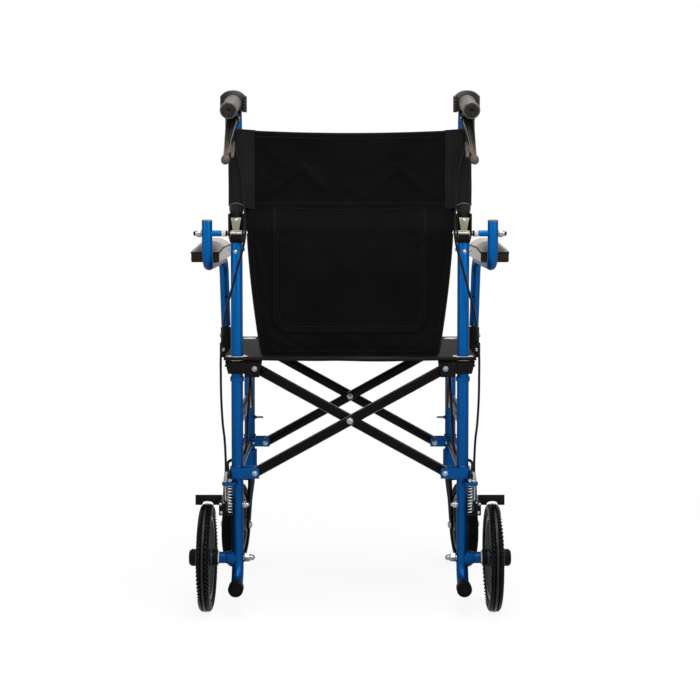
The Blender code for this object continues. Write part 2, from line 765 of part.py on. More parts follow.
def flap_half_width(z):
    """Half width of the cloth below the sleeves, narrowing down to round corners."""
    width = FLAP_WIDE_HALF - FLAP_NARROWING * (SEAM_Z - z) / (SEAM_Z - FLAP_BOTTOM_Z)
    rise = z - FLAP_BOTTOM_Z
    if rise < FLAP_CORNER_R:
        width -= corner_inset(rise, FLAP_CORNER_R)
    return width


def back_upholstery():
    """Back cloth that folds with the canes: sleeves, upper panel and the band to the hinge line."""

    def upper(point, level):
        x, y = point
        top = BACK_TOP_Z - BACK_TOP_DIP * (1 - (x / 0.226) ** 2)
        z = SEAM_Z + level * (top - SEAM_Z)
        inside = abs(x) < 0.176
        return x, y + (crease(x, z) * math.sin(math.pi * level) if inside else 0.0), z

    def band(share, z):
        x = share * (flap_half_width(z) - 0.004)
        return x, fold_lean(z), z

    low = HINGE_Z + FOLD_LINE_GAP
    pocket_xs = np.linspace(-POCKET_HALF_WIDTH, POCKET_HALF_WIDTH, 5)
    solids = [
        sheet(back_section(), np.linspace(0, 1, 5), upper),
        sheet(np.linspace(-1, 1, 7), [low, 0.722, 0.739, SEAM_Z + 0.002], band),
        sheet(pocket_xs, [low, 0.722, 0.738, POCKET_TOP_Z], pocket_top),
    ]
    return combine("back_upholstery", solids, [], "black_cloth", 60)


def pocket_top(x, z):
    return x, fold_lean(z) - 0.0026, z


def back_flap():
    """Cloth from the hinge line down to the seat, with round lower corners."""

    def place(share, z):
        drop = (HINGE_Z - z) / (HINGE_Z - FLAP_BOTTOM_Z)
        x = share * flap_half_width(z)
        return x, HINGE_Y + crease(x, z) * math.sin(math.pi * drop), z

    corner = [FLAP_BOTTOM_Z + rise for rise in (0.0, 0.0020, 0.008, FLAP_CORNER_R)]
    levels = corner + list(np.linspace(0.540, HINGE_Z - FOLD_LINE_GAP, 6))
    solid = sheet(np.linspace(-1, 1, 11), levels, place)
    return combine("back_flap", [solid], [], "black_cloth", 60)


def back_pocket():
    """Flat sewn pocket on the flap, with round lower corners."""

    def place(share, z):
        rise = z - POCKET_BOTTOM_Z
        width = POCKET_HALF_WIDTH
        if rise < POCKET_CORNER_R:
            width -= corner_inset(rise, POCKET_CORNER_R)
        x = share * width
        drop = (HINGE_Z - z) / (HINGE_Z - FLAP_BOTTOM_Z)
        sag = 0.0016 * math.sin(math.pi * drop) * (1 - share**2)
        return x, HINGE_Y - 0.0034 + crease(x, z) * math.sin(math.pi * drop) - sag, z

    levels = [POCKET_BOTTOM_Z + rise for rise in (0.0, 0.003, 0.012, POCKET_CORNER_R)]
    levels += list(np.linspace(0.590, HINGE_Z - FOLD_LINE_GAP, 5))
    solid = sheet(np.linspace(-1, 1, 9), levels, place)
    return combine("back_pocket", [solid], [], "black_cloth", 60)


def seat_sag(x, y):
    """Drop of the seat between its rails, deepest at the middle."""
    across = max(0.0, 1 - (x / 0.170) ** 2)
    along = 0.75 + 0.25 * math.sin(math.pi * (y - SEAT_REAR_Y) / (SEAT_FRONT_Y - SEAT_REAR_Y))
    return 0.0095 * across * along


def seat_sling():
    """Seat cloth over the rails: sagging middle, hanging side and rear hems, holes for the rings."""

    def place(x, y):
        return x, y, SEAT_TOP_Z - SEAT_THICKNESS / 2 - seat_sag(x, y)

    xs = np.linspace(-SEAT_HALF_WIDTH, SEAT_HALF_WIDTH, 11)
    ys = np.linspace(SEAT_REAR_Y, SEAT_FRONT_Y, 6)
    solids = [sheet(xs, ys, place, SEAT_THICKNESS)]
    for x in (-SEAT_HALF_WIDTH, SEAT_HALF_WIDTH):
        inner = x - math.copysign(0.0030, x)
        outer = x + math.copysign(0.0004, x)
        hem = block((inner, 0.0185, 0.4560), (outer, 0.3220, SEAT_TOP_Z - 0.0015))
        solids.append(hem)
    cuts = []
    for side in (-1, 1):
        x = side * POST_X
        cuts.append(rod((x, 0, 0.46), (x, 0, 0.49), 0.0204, ROUND))
        cuts.append(rod((x, FRONT_Y, 0.46), (x, FRONT_Y, 0.49), 0.0144, ROUND))
    return combine("seat_sling", solids, cuts, "black_cloth", 60)


def armrest_path(side):
    top = (side * ARMREST_X, HINGE_Y, ARMREST_TOP_Z)
    corner = (side * ARMREST_X, HINGE_Y, ARMREST_LOW_Z)
    front = (side * 0.262, FRONT_Y - 0.004, ARMREST_LOW_Z)
    knee = (side * 0.2578, FRONT_Y - 0.004, 0.5045)
    return filleted([top, corner, front, knee], 0.036)


def armrest_tube(side):
    """Bent tube of the armrest with its pivot sleeve and the plug in its leg."""
    knee = armrest_path(side)[-1]
    foot = (side * LEG_X, knee.y, LEG_BOTTOM_Z)
    pivot = (HINGE_Y, HINGE_Z)
    solids = [
        sweep(armrest_path(side), ARMREST_R),
        rod((side * 0.2364, *pivot), (side * ARMREST_X, *pivot), 0.0056, SMALL),
        rod(knee + Vector((0, 0, 0.010)), foot, 0.0060, SMALL),
        rod(knee + Vector((side * 0.0003, 0, 0.060)), knee + Vector((side * 0.0003, 0, 0.064)), 0.0105),
    ]
    cuts = [rod((side * 0.22, *pivot), (side * 0.29, *pivot), 0.0033, BORE)]
    return combine(side_name("armrest_tube", side), solids, cuts, "blue_paint")


def armrest_pad(side):
    """Padded rest over the tube, crowned, lower at its rear end."""
    low = 0.6500
    crown = 0.011
    middle = side * 0.2715
    sections = [(0.036, 0.6705, 0.92), (0.040, 0.6760, 0.97), (0.052, 0.6835, 1.0), (0.080, 0.6885, 1.0)]
    sections += [(0.180, 0.6905, 1.0), (0.280, 0.6895, 1.0), (0.308, 0.6855, 1.0), (0.320, 0.6790, 0.96)]
    sections += [(0.3245, 0.6700, 0.88)]
    rings = []
    for y, top, width in sections:
        half = 0.0265 * width
        ring = [(middle - half, low), (middle + half, low), (middle + half, top - crown)]
        ring += [(middle + half * c, top - crown + crown * s) for c, s in crown_steps()]
        ring.append((middle - half, top - crown))
        rings.append([(x, y, z) for x, z in ring])
    solid = loft(rings)
    rear_end, front_end = (side * 0.2640, 0.02, ARMREST_LOW_Z), (side * 0.2620, 0.34, ARMREST_LOW_Z)
    channel = rod(rear_end, front_end, ARMREST_R + 0.0008)
    return combine(side_name("armrest_pad", side), [solid], [channel], "grip_foam", 50)


def crown_steps():
    """Points over the pad's rounded top, as shares of its half width and crown."""
    angles = np.radians([18, 36, 60, 90, 120, 144, 162])
    return [(math.cos(a), math.sin(a)) for a in angles]


def armrest_socket(side):
    """Clip open to the front that holds the armrest's leg, with its latch tab outside."""
    y = FRONT_Y - 0.004
    outer, inner = side * 0.2680, side * 0.2475
    solids = [
        block((outer, y - 0.011, SOCKET_BASE_Z + 0.0004), (inner, y + 0.0085, 0.5030)),
        block((side * 0.2708, y - 0.006, 0.4480), (side * 0.2670, y + 0.006, 0.4710)),
    ]
    slot_r = 0.0065
    x = side * LEG_X
    cuts = [
        rod((x, y, 0.4430), (x, y, 0.51), slot_r, BORE),
        block((x - slot_r, y, 0.4430), (x + slot_r, y + 0.02, 0.51)),
    ]
    return combine(side_name("armrest_socket", side), solids, cuts, "black_plastic")


def spoked_wheel(name, centre, axis, radius, rim, hub, spokes):
    """Hub, spokes and rim as one moulding, made about X and then turned to its axis.

    rim is (inner r, half width) and hub is (r, low, high, bore r, bore low, bore high).
    """
    rim_low, half = rim
    hub_r, low, high, bore_r, bore_low, bore_high = hub
    ring = [(-half, rim_low), (-half, radius), (half, radius), (half, rim_low)]
    out = Vector((1, 0, 0))
    solids = [turned(ring, (0, 0, 0), out, WHEEL_ROUND), rod(low * out, high * out, hub_r, SMALL)]
    sections = ((hub_r * 0.85, hub_r * 0.58, 0.006), (rim_low + 0.003, 0.007, 0.005))
    for k in range(spokes):
        turn = Matrix.Rotation(2 * math.pi * (k + 0.1) / spokes, 3, "X")
        rings = []
        for reach, wide, deep in sections:
            corners = ((-deep, -wide), (deep, -wide), (deep, wide), (-deep, wide))
            rings.append([turn @ Vector((x, y, reach)) for x, y in corners])
        solids.append(loft(rings))
    bore = rod(bore_low * out, bore_high * out, bore_r, BORE)
    made = combine(name, solids, [bore], "grey_plastic")
    turn = out.rotation_difference(Vector(axis)).to_matrix().to_4x4()
    made.data.transform(Matrix.Translation(Vector(centre)) @ turn)
    return made


def tyre(name, centre, axis, inner, outer, width):
    """Solid tyre with sloped shoulders and a flat tread."""
    half = width / 2
    profile = [(-half, inner), (-half, outer - 0.008), (-half * 0.5, outer)]
    profile += [(half * 0.5, outer), (half, outer - 0.008), (half, inner)]
    solid = turned(profile, centre, axis, WHEEL_ROUND)
    return combine(name, [solid], [], "rubber", 60)


def rear_wheel(side):
    """Rear wheel with its closed outer cap, and its tyre."""
    centre = (side * WHEEL_X, 0, WHEEL_R)
    axis = (side, 0, 0)
    rim_r = 0.0790
    hub = (0.0160, -0.0205, 0.0330, 0.0063, -0.03, 0.0220)
    name = side_name("rear_wheel", side)
    wheel = spoked_wheel(name, centre, axis, rim_r - 0.0003, (0.070, 0.0085), hub, 5)
    ring = tyre(side_name("rear_tyre", side), centre, axis, rim_r, WHEEL_R, TYRE_WIDTH)
    return wheel, ring


def caster_axle(side):
    """Centre of a caster's wheel, which trails behind and outside its swivel axis."""
    trail = Matrix.Rotation(side * -CASTER_YAW, 3, "Z") @ Vector((0, -CASTER_TRAIL, 0))
    return Vector((side * CASTER_X, CASTER_Y, CASTER_R)) + Vector((abs(trail.x) * side, trail.y, 0))


def caster_axis(side):
    return Matrix.Rotation(side * CASTER_YAW, 3, "Z") @ Vector((side, 0, 0))


def caster_wheel(side):
    centre, axis = caster_axle(side), caster_axis(side)
    rim_r = 0.0660
    hub = (0.0130, -0.0215, 0.0215, 0.0053, -0.03, 0.03)
    name = side_name("caster_wheel", side)
    wheel = spoked_wheel(name, centre, axis, rim_r - 0.0003, (0.057, 0.0100), hub, 5)
    ring = tyre(side_name("caster_tyre", side), centre, axis, rim_r, CASTER_R, CASTER_TYRE_WIDTH)
    return wheel, ring


def caster_fork(side):
    """Stem, crown, two legs and the axle bolt, turned together about the stem."""
    axle_y = -CASTER_TRAIL
    leg = [(-0.012, 0.1800), (0.014, 0.1800), (0.014, 0.1700), (-0.010, 0.1350)]
    leg += arc((axle_y, CASTER_R), 0.0115, 15, -195, 5)
    leg += [(-0.040, 0.1400)]
    solids = [
        rod((0, 0, 0.182), (0, 0, 0.2415), 0.0080, SMALL),
        rod((0, 0, 0.1865), (0, 0, 0.1882), 0.0130),
        block((-0.0285, -0.030, 0.1800), (0.0285, 0.0155, 0.1870)),
        rod((-0.0335, axle_y, CASTER_R), (0.0335, axle_y, CASTER_R), 0.0050, SMALL),
    ]
    for low, high in ((-0.0285, -0.0235), (0.0235, 0.0285)):
        solids.append(prism(leg + [(-0.030, 0.1800)], 0, low, high))
        end = high if low > 0 else low
        solids.append(rod((end * 0.9, axle_y, CASTER_R), (end * 1.13, axle_y, CASTER_R), 0.0085, 6))
    made = combine(side_name("caster_fork", side), solids, [], "black_paint")
    made.data.transform(
        Matrix.Translation((side * CASTER_X, CASTER_Y, 0)) @ Matrix.Rotation(side * CASTER_YAW, 4, "Z")
    )
    return made


def brake_arm(side):
    """Lever on the brake pivot: cable end and spring seat behind, shoe over the tyre."""
    pivot = (0.0, BRAKE_PIVOT_Z)
    outline = [(-0.0285, 0.1850), (-0.0125, 0.1850), (0.0100, 0.1880), (0.0300, 0.2000), (0.0300, 0.2110)]
    outline += [(-0.0100, 0.2135), (-0.0285, 0.2110)]
    x_low, x_high = side * 0.2229, side * 0.2420
    solids = [
        prism(outline, 0, min(x_low, x_high), max(x_low, x_high)),
        block((side * 0.2420, -0.0285, 0.1850), (side * 0.2165, -0.0130, 0.1886)),
        block((side * 0.2875, -0.0120, 0.1990), (side * 0.2385, 0.0400, 0.2182)),
        rod((side * 0.2340, BRAKE_CABLE_Y, 0.2080), (side * 0.2340, BRAKE_CABLE_Y, 0.2330), 0.0016, SMALL),
    ]
    tyre_low, tyre_high = side * 0.2540, side * 0.2800
    cuts = [
        rod((side * 0.21, *pivot), (side * 0.2460, *pivot), PIN_HOLE_R, BORE),
        block((side * 0.2287, -0.0295, 0.1886), (side * 0.2100, -0.0135, 0.2200)),
        rod((tyre_low, 0, WHEEL_R), (tyre_high, 0, WHEEL_R), WHEEL_R + 0.0065, 48),
    ]
    return combine(side_name("wheel_brake_arm", side), solids, cuts, "black_plastic")


def helix(centre, radius, low, high, curls, steps):
    """Points along a spring's turns, which climb at a steady rate."""
    points = []
    total = curls * steps
    for k in range(total + 1):
        angle = 2 * math.pi * k / steps
        share = k / total
        x = centre[0] + radius * math.cos(angle)
        y = centre[1] + radius * math.sin(angle)
        points.append((x, y, low + (high - low) * share))
    return points


def self_gap(points, wire_r, window):
    """Least clear distance between a wire's points that aren't neighbours."""
    places = np.array(points)
    apart = np.linalg.norm(places[:, None] - places[None], axis=2)
    index = np.arange(len(places))
    apart[abs(index[:, None] - index[None]) < window] = np.inf
    return float(apart.min()) - 2 * wire_r


def brake_spring(side):
    """Open coil spring between the brake tab and the brake arm."""
    wire_r = 0.0008
    coil_r = 0.0034
    centre = (side * SPRING_X, BRAKE_CABLE_Y)
    steps = 8
    turns = helix(centre, coil_r, SPRING_LOW_Z + 0.0026, SPRING_HIGH_Z - 0.0026, SPRING_CURLS, steps)
    start = (turns[0][0], turns[0][1], SPRING_LOW_Z)
    end = (turns[-1][0], turns[-1][1], SPRING_HIGH_Z)
    points = [start, *turns, end]
    print(f"brake spring least gap {1000 * self_gap(points, wire_r, 5):.2f} mm")
    return cord(side_name("brake_spring", side), points, wire_r, 1, "zinc")


def attendant_cable(side):
    """Cable from the lever's adjuster down the back, round the rear post to the brake tab."""
    knots = [
        (ADJUSTER_X, -0.0240, 0.8636),
        (0.2000, -0.0215, 0.8400),
        (0.1935, -0.0205, 0.7800),
        (0.1895, -0.0215, 0.7200),
        (0.1900, -0.0225, 0.6850),
        (0.1990, -0.0240, 0.6500),
        (0.2150, -0.0240, 0.6100),
        (0.2290, -0.0240, 0.5650),
        (0.2350, -0.0225, 0.5150),
        (0.2388, -0.0200, 0.4600),
        (0.2400, -0.0190, 0.4100),
        (0.2370, -0.0190, 0.3550),
        (0.2310, -0.0205, 0.3050),
        (CABLE_END_X, BRAKE_CABLE_Y, 0.2658),
    ]
    points = smooth_route([(side * x, y, z) for x, y, z in knots], 0.0132)
    return cord(side_name("attendant_brake_cable", side), points, 0.0022, 2, "black_plastic")


def parking_cable(side):
    """Second cable, from under the upper side rail past the brace pivot to the brake tab."""
    knots = [
        (0.1895, 0.1500, 0.3560),
        (0.1893, 0.1200, 0.3850),
        (0.1887, 0.0850, 0.4240),
        (0.1883, 0.0560, 0.4350),
        (0.1886, 0.0380, 0.4180),
        (0.1902, 0.0290, 0.3850),
        (0.1925, 0.0250, 0.3400),
        (0.1952, 0.0225, 0.3020),
        (0.2030, 0.0200, 0.2865),
        (0.2150, 0.0170, 0.2830),
        (0.2268, 0.0040, 0.2790),
        (0.2262, -0.0140, 0.2710),
        (0.2228, -0.0213, 0.2610),
        (SPRING_X, BRAKE_CABLE_Y, 0.2524),
    ]
    points = smooth_route([(side * x, y, z) for x, y, z in knots], 0.012)
    return cord(side_name("parking_brake_cable", side), points, 0.0020, 2, "black_plastic")


def build_side(side):
    """One side of the chair. Returns an empty on each joint's axis, with its pieces on it."""
    x = side * POST_X
    frame = [
        rear_post(side),
        front_post(side),
        side_rail(side, True),
        side_rail(side, False),
        tip_cap(side),
        back_hinge(side),
        armrest_socket(side),
        parking_cable(side),
        brake_spring(side),
    ]
    slider = [slider_block(side, 0.0, True), slider_block(side, FRONT_Y, False), seat_rail(side)]
    cane = [back_cane(side), handgrip(side), brake_clamp(side), attendant_cable(side)]
    armrest = [armrest_tube(side), armrest_pad(side)]
    groups = [
        ("side_frame", (side * PIVOT_X, 0, PIVOT_LOW_Z), frame),
        ("seat_slide", (side * PIVOT_X, 0, PIVOT_HIGH_Z), slider),
        ("back_fold", (x, HINGE_Y, HINGE_Z), cane),
        ("back_latch_tip", (x, LATCH_FRONT_Y, LATCH_TOP_Z), [back_latch(side)]),
        ("lever_squeeze", lever_pivot(side), [brake_lever(side)]),
        ("armrest_flip", (side * ARMREST_X, HINGE_Y, HINGE_Z), armrest),
        ("wheel_spin", (side * WHEEL_X, 0, WHEEL_R), rear_wheel(side)),
        ("brake_press", (side * BRAKE_PIVOT_X, 0, BRAKE_PIVOT_Z), [brake_arm(side)]),
        ("caster_swivel", (side * CASTER_X, CASTER_Y, FORK_CROWN_Z), [caster_fork(side)]),
        ("caster_spin", caster_axle(side), caster_wheel(side)),
    ]
    return [joint_empty(side_name(name, side), place, pieces) for name, place, pieces in groups]


def build_middle():
    """Braces and cloth, which join the two sides. Returns what the chair's empty carries."""
    rear_a, rear_b = brace_pair("rear", 0.0)
    front_a, front_b = brace_pair("front", FRONT_Y)
    middle = (PIVOT_LOW_Z + PIVOT_HIGH_Z) / 2
    return [
        joint_empty("brace_lift", (-PIVOT_X, 0, PIVOT_LOW_Z), [rear_a, front_a]),
        joint_empty("brace_cross", (0, 0, middle), [rear_b, front_b]),
        seat_sling(),
        back_upholstery(),
        back_flap(),
        back_pocket(),
    ]


def build_chair():
    """The whole chair, moved so that the middle of its length is over the origin."""
    carried = [*build_side(-1), *build_side(1), *build_middle()]
    chair = bpy.data.objects.new("wheelchair", None)
    bpy.context.scene.collection.objects.link(chair)
    for piece in carried:
        piece.parent = chair
    chair.location = (0, -CHAIR_MIDDLE_Y, 0)


clear_scene()
build_chair()
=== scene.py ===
import math

import bmesh
import bpy
import numpy as np
from mathutils import Matrix, Vector, noise


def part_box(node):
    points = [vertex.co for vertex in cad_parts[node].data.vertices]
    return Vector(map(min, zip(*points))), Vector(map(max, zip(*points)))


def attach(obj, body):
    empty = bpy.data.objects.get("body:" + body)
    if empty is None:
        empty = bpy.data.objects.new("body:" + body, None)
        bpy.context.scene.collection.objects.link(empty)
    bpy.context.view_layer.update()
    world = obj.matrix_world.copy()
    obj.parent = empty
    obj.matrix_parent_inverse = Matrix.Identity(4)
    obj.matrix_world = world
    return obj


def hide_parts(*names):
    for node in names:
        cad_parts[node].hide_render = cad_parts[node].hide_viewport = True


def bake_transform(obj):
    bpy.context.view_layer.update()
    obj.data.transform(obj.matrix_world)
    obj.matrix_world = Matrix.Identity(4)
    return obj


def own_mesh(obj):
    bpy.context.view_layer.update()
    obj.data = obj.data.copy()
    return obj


# Folding transport wheelchair, seen from behind. Metres, +Z up; the chair faces +Y, its left is at -X.
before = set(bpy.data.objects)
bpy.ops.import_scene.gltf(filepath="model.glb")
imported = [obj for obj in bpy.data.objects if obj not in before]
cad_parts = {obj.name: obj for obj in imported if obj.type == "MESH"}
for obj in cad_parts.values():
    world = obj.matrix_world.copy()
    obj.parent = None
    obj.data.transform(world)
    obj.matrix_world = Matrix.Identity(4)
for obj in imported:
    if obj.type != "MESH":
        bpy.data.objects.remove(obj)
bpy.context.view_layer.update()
print("frame loaded:", len(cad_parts), "nodes")


def middleOf(node):
    low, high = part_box(node)
    return (low + high) / 2


# the places that everything else is measured from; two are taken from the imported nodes
chair = {
    "rearY": middleOf("rear_tyre_left").y,  # axis of the rear posts
    "postX": -middleOf("upper_side_rail_left").x,
    "frontY": 0.341,  # front posts, measured from the rear ones
    "hingeY": -0.012,
    "hingeZ": 0.7055,
}
postX, frontY, hingeY, hingeZ = (chair[key] for key in ("postX", "frontY", "hingeY", "hingeZ"))
sides = (-1, 1)


def at(side, x, y, z):
    # side is -1 or 1; x is measured outwards from the middle, y from the rear posts' axis
    return Vector((side * x, y + chair["rearY"], z))


def onHinge(x):
    # a place on the back's hinge bolt
    return (x, hingeY, hingeZ)


def word(side):
    return "left" if side < 0 else "right"


def clipped(share):
    return min(max(share, 0.0), 1.0)


def signedPower(value, power):
    # powers below 1 turn a circle towards a box
    return math.copysign(abs(value) ** power, value)


# helpers: nodes, colours and meshes


def addNode(tree, kind, props=None, values=None, links=None):
    node = tree.nodes.new(kind)
    for name, value in (props or {}).items():
        setattr(node, name, value)
    for name, value in (values or {}).items():
        node.inputs[name].default_value = value
    for name, source in (links or {}).items():
        tree.links.new(source, node.inputs[name])
    return node


def hexColour(text):
    parts = [int(text[i : i + 2], 16) / 255 for i in (1, 3, 5)]
    linear = [c / 12.92 if c <= 0.04045 else ((c + 0.055) / 1.055) ** 2.4 for c in parts]
    return (*linear, 1.0)


def perMetre(millimetres):
    # texture scale at which one feature of a pattern is this many millimetres wide
    return 1000.0 / millimetres


def setStops(ramp, stops):
    # stops: (position, hex colour) pairs
    elements = ramp.color_ramp.elements
    while len(elements) < len(stops):
        elements.new(0.5)
    for element, (place, tone) in zip(elements, stops):
        element.position = place
        element.color = hexColour(tone)


def colourNoise(look, featureMm, low, high, detail=4.0):
    # base colour drifts between two hex colours
    tree, shader, coords = look
    values = {"Scale": perMetre(featureMm), "Detail": detail}
    grain = addNode(tree, "ShaderNodeTexNoise", values=values, links={"Vector": coords})
    ramp = addNode(tree, "ShaderNodeValToRGB", links={"Fac": grain.outputs["Fac"]})
    setStops(ramp, [(0.35, low), (0.65, high)])
    tree.links.new(ramp.outputs["Color"], shader.inputs["Base Color"])


def mixedColour(look, main, second):
    # base colour: seven tenths of one colour and three tenths of another
    tree, shader, _ = look
    mix = addNode(
        tree, "ShaderNodeMix", props={"data_type": "RGBA"}, values={0: 0.3}, links={6: main, 7: second},
    )
    tree.links.new(mix.outputs[2], shader.inputs["Base Color"])


def paintedAngleLight(look, *stops):
    # painted light and shade: colour over the angle of view: first tone square on, last tone at the rim, over
    # what is there already
    tree, shader, _ = look
    facing = addNode(tree, "ShaderNodeLayerWeight", values={"Blend": 0.5})
    ramp = addNode(tree, "ShaderNodeValToRGB", links={"Fac": facing.outputs["Facing"]})
    setStops(ramp, stops)
    mixedColour(look, ramp.outputs["Color"], shader.inputs["Base Color"].links[0].from_socket)


def paintedHeightLight(tree, height, low, high, lowTone, highTone):
    # painted light and shade: colour that changes between two heights
    values = {"From Min": low, "From Max": high}
    climb = addNode(tree, "ShaderNodeMapRange", values=values, links={"Value": height})
    tones = addNode(tree, "ShaderNodeValToRGB", links={"Fac": climb.outputs["Result"]})
    setStops(tones, [(0.0, lowTone), (1.0, highTone)])
    return tones.outputs["Color"]


def roughNoise(look, featureMm, low, high):
    tree, shader, coords = look
    values = {"Scale": perMetre(featureMm), "Detail": 3.0}
    grain = addNode(tree, "ShaderNodeTexNoise", values=values, links={"Vector": coords})
    values = {"To Min": low, "To Max": high}
    spread = addNode(tree, "ShaderNodeMapRange", values=values, links={"Value": grain.outputs["Fac"]})
    tree.links.new(spread.outputs["Result"], shader.inputs["Roughness"])


def bumpFrom(look, height, distanceMm, strength=1.0, under=None):
    tree, shader, _ = look
    values = {"Distance": distanceMm / 1000, "Strength": strength}
    links = {"Height": height} | ({"Normal": under} if under else {})
    bump = addNode(tree, "ShaderNodeBump", values=values, links=links)
    tree.links.new(bump.outputs["Normal"], shader.inputs["Normal"])
    return bump.outputs["Normal"]


def grainBump(look, featureMm, depthMm, strength=1.0, under=None):
    tree, _, coords = look
    values = {"Scale": perMetre(featureMm), "Detail": 2.0}
    grain = addNode(tree, "ShaderNodeTexNoise", values=values, links={"Vector": coords})
    bumpFrom(look, grain.outputs["Fac"], depthMm, strength, under)


def newFinish(
    name, colour, roughness, drift=None, tones=None, gloss=None, grain=None, metallic=0.0, **sockets,
):
    # drift, tones, gloss and grain are handed to the four functions named at the end;
    # sockets are further Principled values, with _ for a space
    made = bpy.data.materials.new(name)
    made.use_nodes = True
    made.diffuse_color = hexColour(colour)
    shader = made.node_tree.nodes["Principled BSDF"]
    values = {"Base Color": hexColour(colour), "Roughness": roughness, "Metallic": metallic}
    values |= {socket.replace("_", " "): value for socket, value in sockets.items()}
    for socket, value in values.items():
        shader.inputs[socket].default_value = value
    coords = addNode(made.node_tree, "ShaderNodeTexCoord")
    look = (made.node_tree, shader, coords.outputs["Object"])
    for step, given in ((colourNoise, drift), (paintedAngleLight, tones), (roughNoise, gloss), (grainBump, grain)):
        if given:
            step(look, *given)
    return made, look


# finishes, each named for the real material


def wovenFinish(name, colour, lighter, threadMm, specular=0.06):
    # woven polyester, coated inside: dull black threads in a plain weave, faintly shiny where it is pulled
    drift = (60, colour, lighter)
    sheen = {"Specular_IOR_Level": specular, "Sheen_Weight": 0.02, "Sheen_Roughness": 0.4}
    made, look = newFinish(name, colour, 0.72, drift, **sheen)
    tree, _, coords = look
    # a wave repeats about every 1/20 of its scale, so the scale is worked out from the thread
    values = {"Scale": perMetre(threadMm) / 20 * math.pi, "Distortion": 0.6, "Detail": 1.0}
    waves = []
    for axis in ("X", "Z"):
        props = {"bands_direction": axis, "wave_profile": "SIN"}
        wave = addNode(tree, "ShaderNodeTexWave", props=props, values=values, links={"Vector": coords})
        waves.append(wave.outputs["Fac"])
    both = addNode(tree, "ShaderNodeMath", props={"operation": "MULTIPLY"}, links={0: waves[0], 1: waves[1]})
    normal = bumpFrom(look, both.outputs[0], 0.12, 0.5)
    grainBump(look, 9, 0.5, 0.35, normal)
    roughNoise(look, 30, 0.6, 0.85)
    return made


def plasticFinish(name, colour, lighter, roughness, grainMm=0.8, specular=0.15):
    # moulded nylon or ABS: even colour, fine spark grain that softens its gloss
    drift, grain = (25, colour, lighter), (grainMm, 0.05, 0.35)
    gloss = (12, roughness - 0.07, roughness + 0.1)
    return newFinish(name, colour, roughness, drift, None, gloss, grain, Specular_IOR_Level=specular)[0]


def rubberFinish(name, colour, lighter, roughness, specular=0.15):
    # vulcanised rubber or soft PVC: matt, with dust in its pores and rubbed patches
    drift, gloss, grain = (14, colour, lighter, 8.0), (9, roughness - 0.12, roughness + 0.1), (1.2, 0.1, 0.4)
    return newFinish(name, colour, roughness, drift, None, gloss, grain, Specular_IOR_Level=specular)[0]


def metalFinish(name, colour, darker, roughness, rim="#2A2C2C"):
    # bare or plated metal: drawn grain and faint stains, with painted shade where it turns away, standing for
    # the unlit room it reflects
    tones = [(0.0, colour), (0.3, colour), (0.62, darker), (0.92, rim)]
    gloss, grain = (3, roughness - 0.08, roughness + 0.12), (0.7, 0.03, 0.3)
    return newFinish(name, colour, roughness, (6, darker, colour), tones, gloss, grain, 1.0)[0]


def bluePaintFinish():
    # baked metallic enamel on aluminium tube: deep blue flake under a clear coat, with painted shade darker
    # at the tube's rims
    drift = (30, "#003D74", "#004883")
    # painted shade: these tones darken towards the tube's rims
    tones = [(0.0, "#005093"), (0.35, "#004888"), (0.62, "#0C3260"), (0.9, "#1A2646")]
    coat = {"Coat_Weight": 0.1, "Coat_Roughness": 0.05, "Coat_IOR": 1.35}
    coat |= {"Specular_IOR_Level": 0.1, "Specular_Tint": hexColour("#0A3C78")}
    made, look = newFinish("blue metallic enamel", "#004C8E", 0.34, drift, tones, metallic=0.6, **coat)
    tree, shader, coords = look
    # painted light: brighter high up and darker low down, as the overhead light falls
    place = addNode(tree, "ShaderNodeSeparateXYZ", links={"Vector": coords})
    climb = paintedHeightLight(tree, place.outputs["Z"], 0.3, 0.66, "#142E54", "#0A68AE")
    mixedColour(look, shader.inputs["Base Color"].links[0].from_socket, climb)
    roughNoise(look, 9, 0.3, 0.38)
    flake = addNode(tree, "ShaderNodeTexVoronoi", values={"Scale": perMetre(0.9)}, links={"Vector": coords})
    # real flake is about 0.05 mm; it is drawn coarser so that it shows as a faint sparkle
    normal = bumpFrom(look, flake.outputs["Distance"], 0.02, 0.15)
    grainBump(look, 9, 0.04, 0.2, normal)
    return made


def blackEnamelFinish():
    # black stoving enamel on the brace tubes: smooth, half gloss, with a painted highlight along the rounded
    # edges
    drift, gloss, grain = (22, "#020202", "#060605"), (8, 0.2, 0.3), (3, 0.05, 0.3)
    tones = [(0.0, "#020202"), (0.2, "#040404"), (0.45, "#75706A"), (0.8, "#3A3835")]
    name = "black stoving enamel"
    return newFinish(name, "#030303", 0.22, drift, tones, gloss, grain, Specular_IOR_Level=0.08)[0]


def padFinish():
    # polyurethane skin: nearly black seen square on, with a pale warm painted sheen at a low angle
    drift, gloss, grain = (30, "#14110E", "#1E1A16"), (14, 0.24, 0.34), (1.6, 0.03, 0.2)
    tones = [(0.0, "#14110E"), (0.87, "#1A1612"), (0.905, "#ADA69A"), (0.93, "#ADA69A"), (1.0, "#4E4840")]
    haze = {"Specular_IOR_Level": 0.22, "Specular_Tint": hexColour("#E3D0B8")}
    return newFinish("armrest polyurethane skin", "#16130F", 0.3, drift, tones, gloss, grain, **haze)[0]


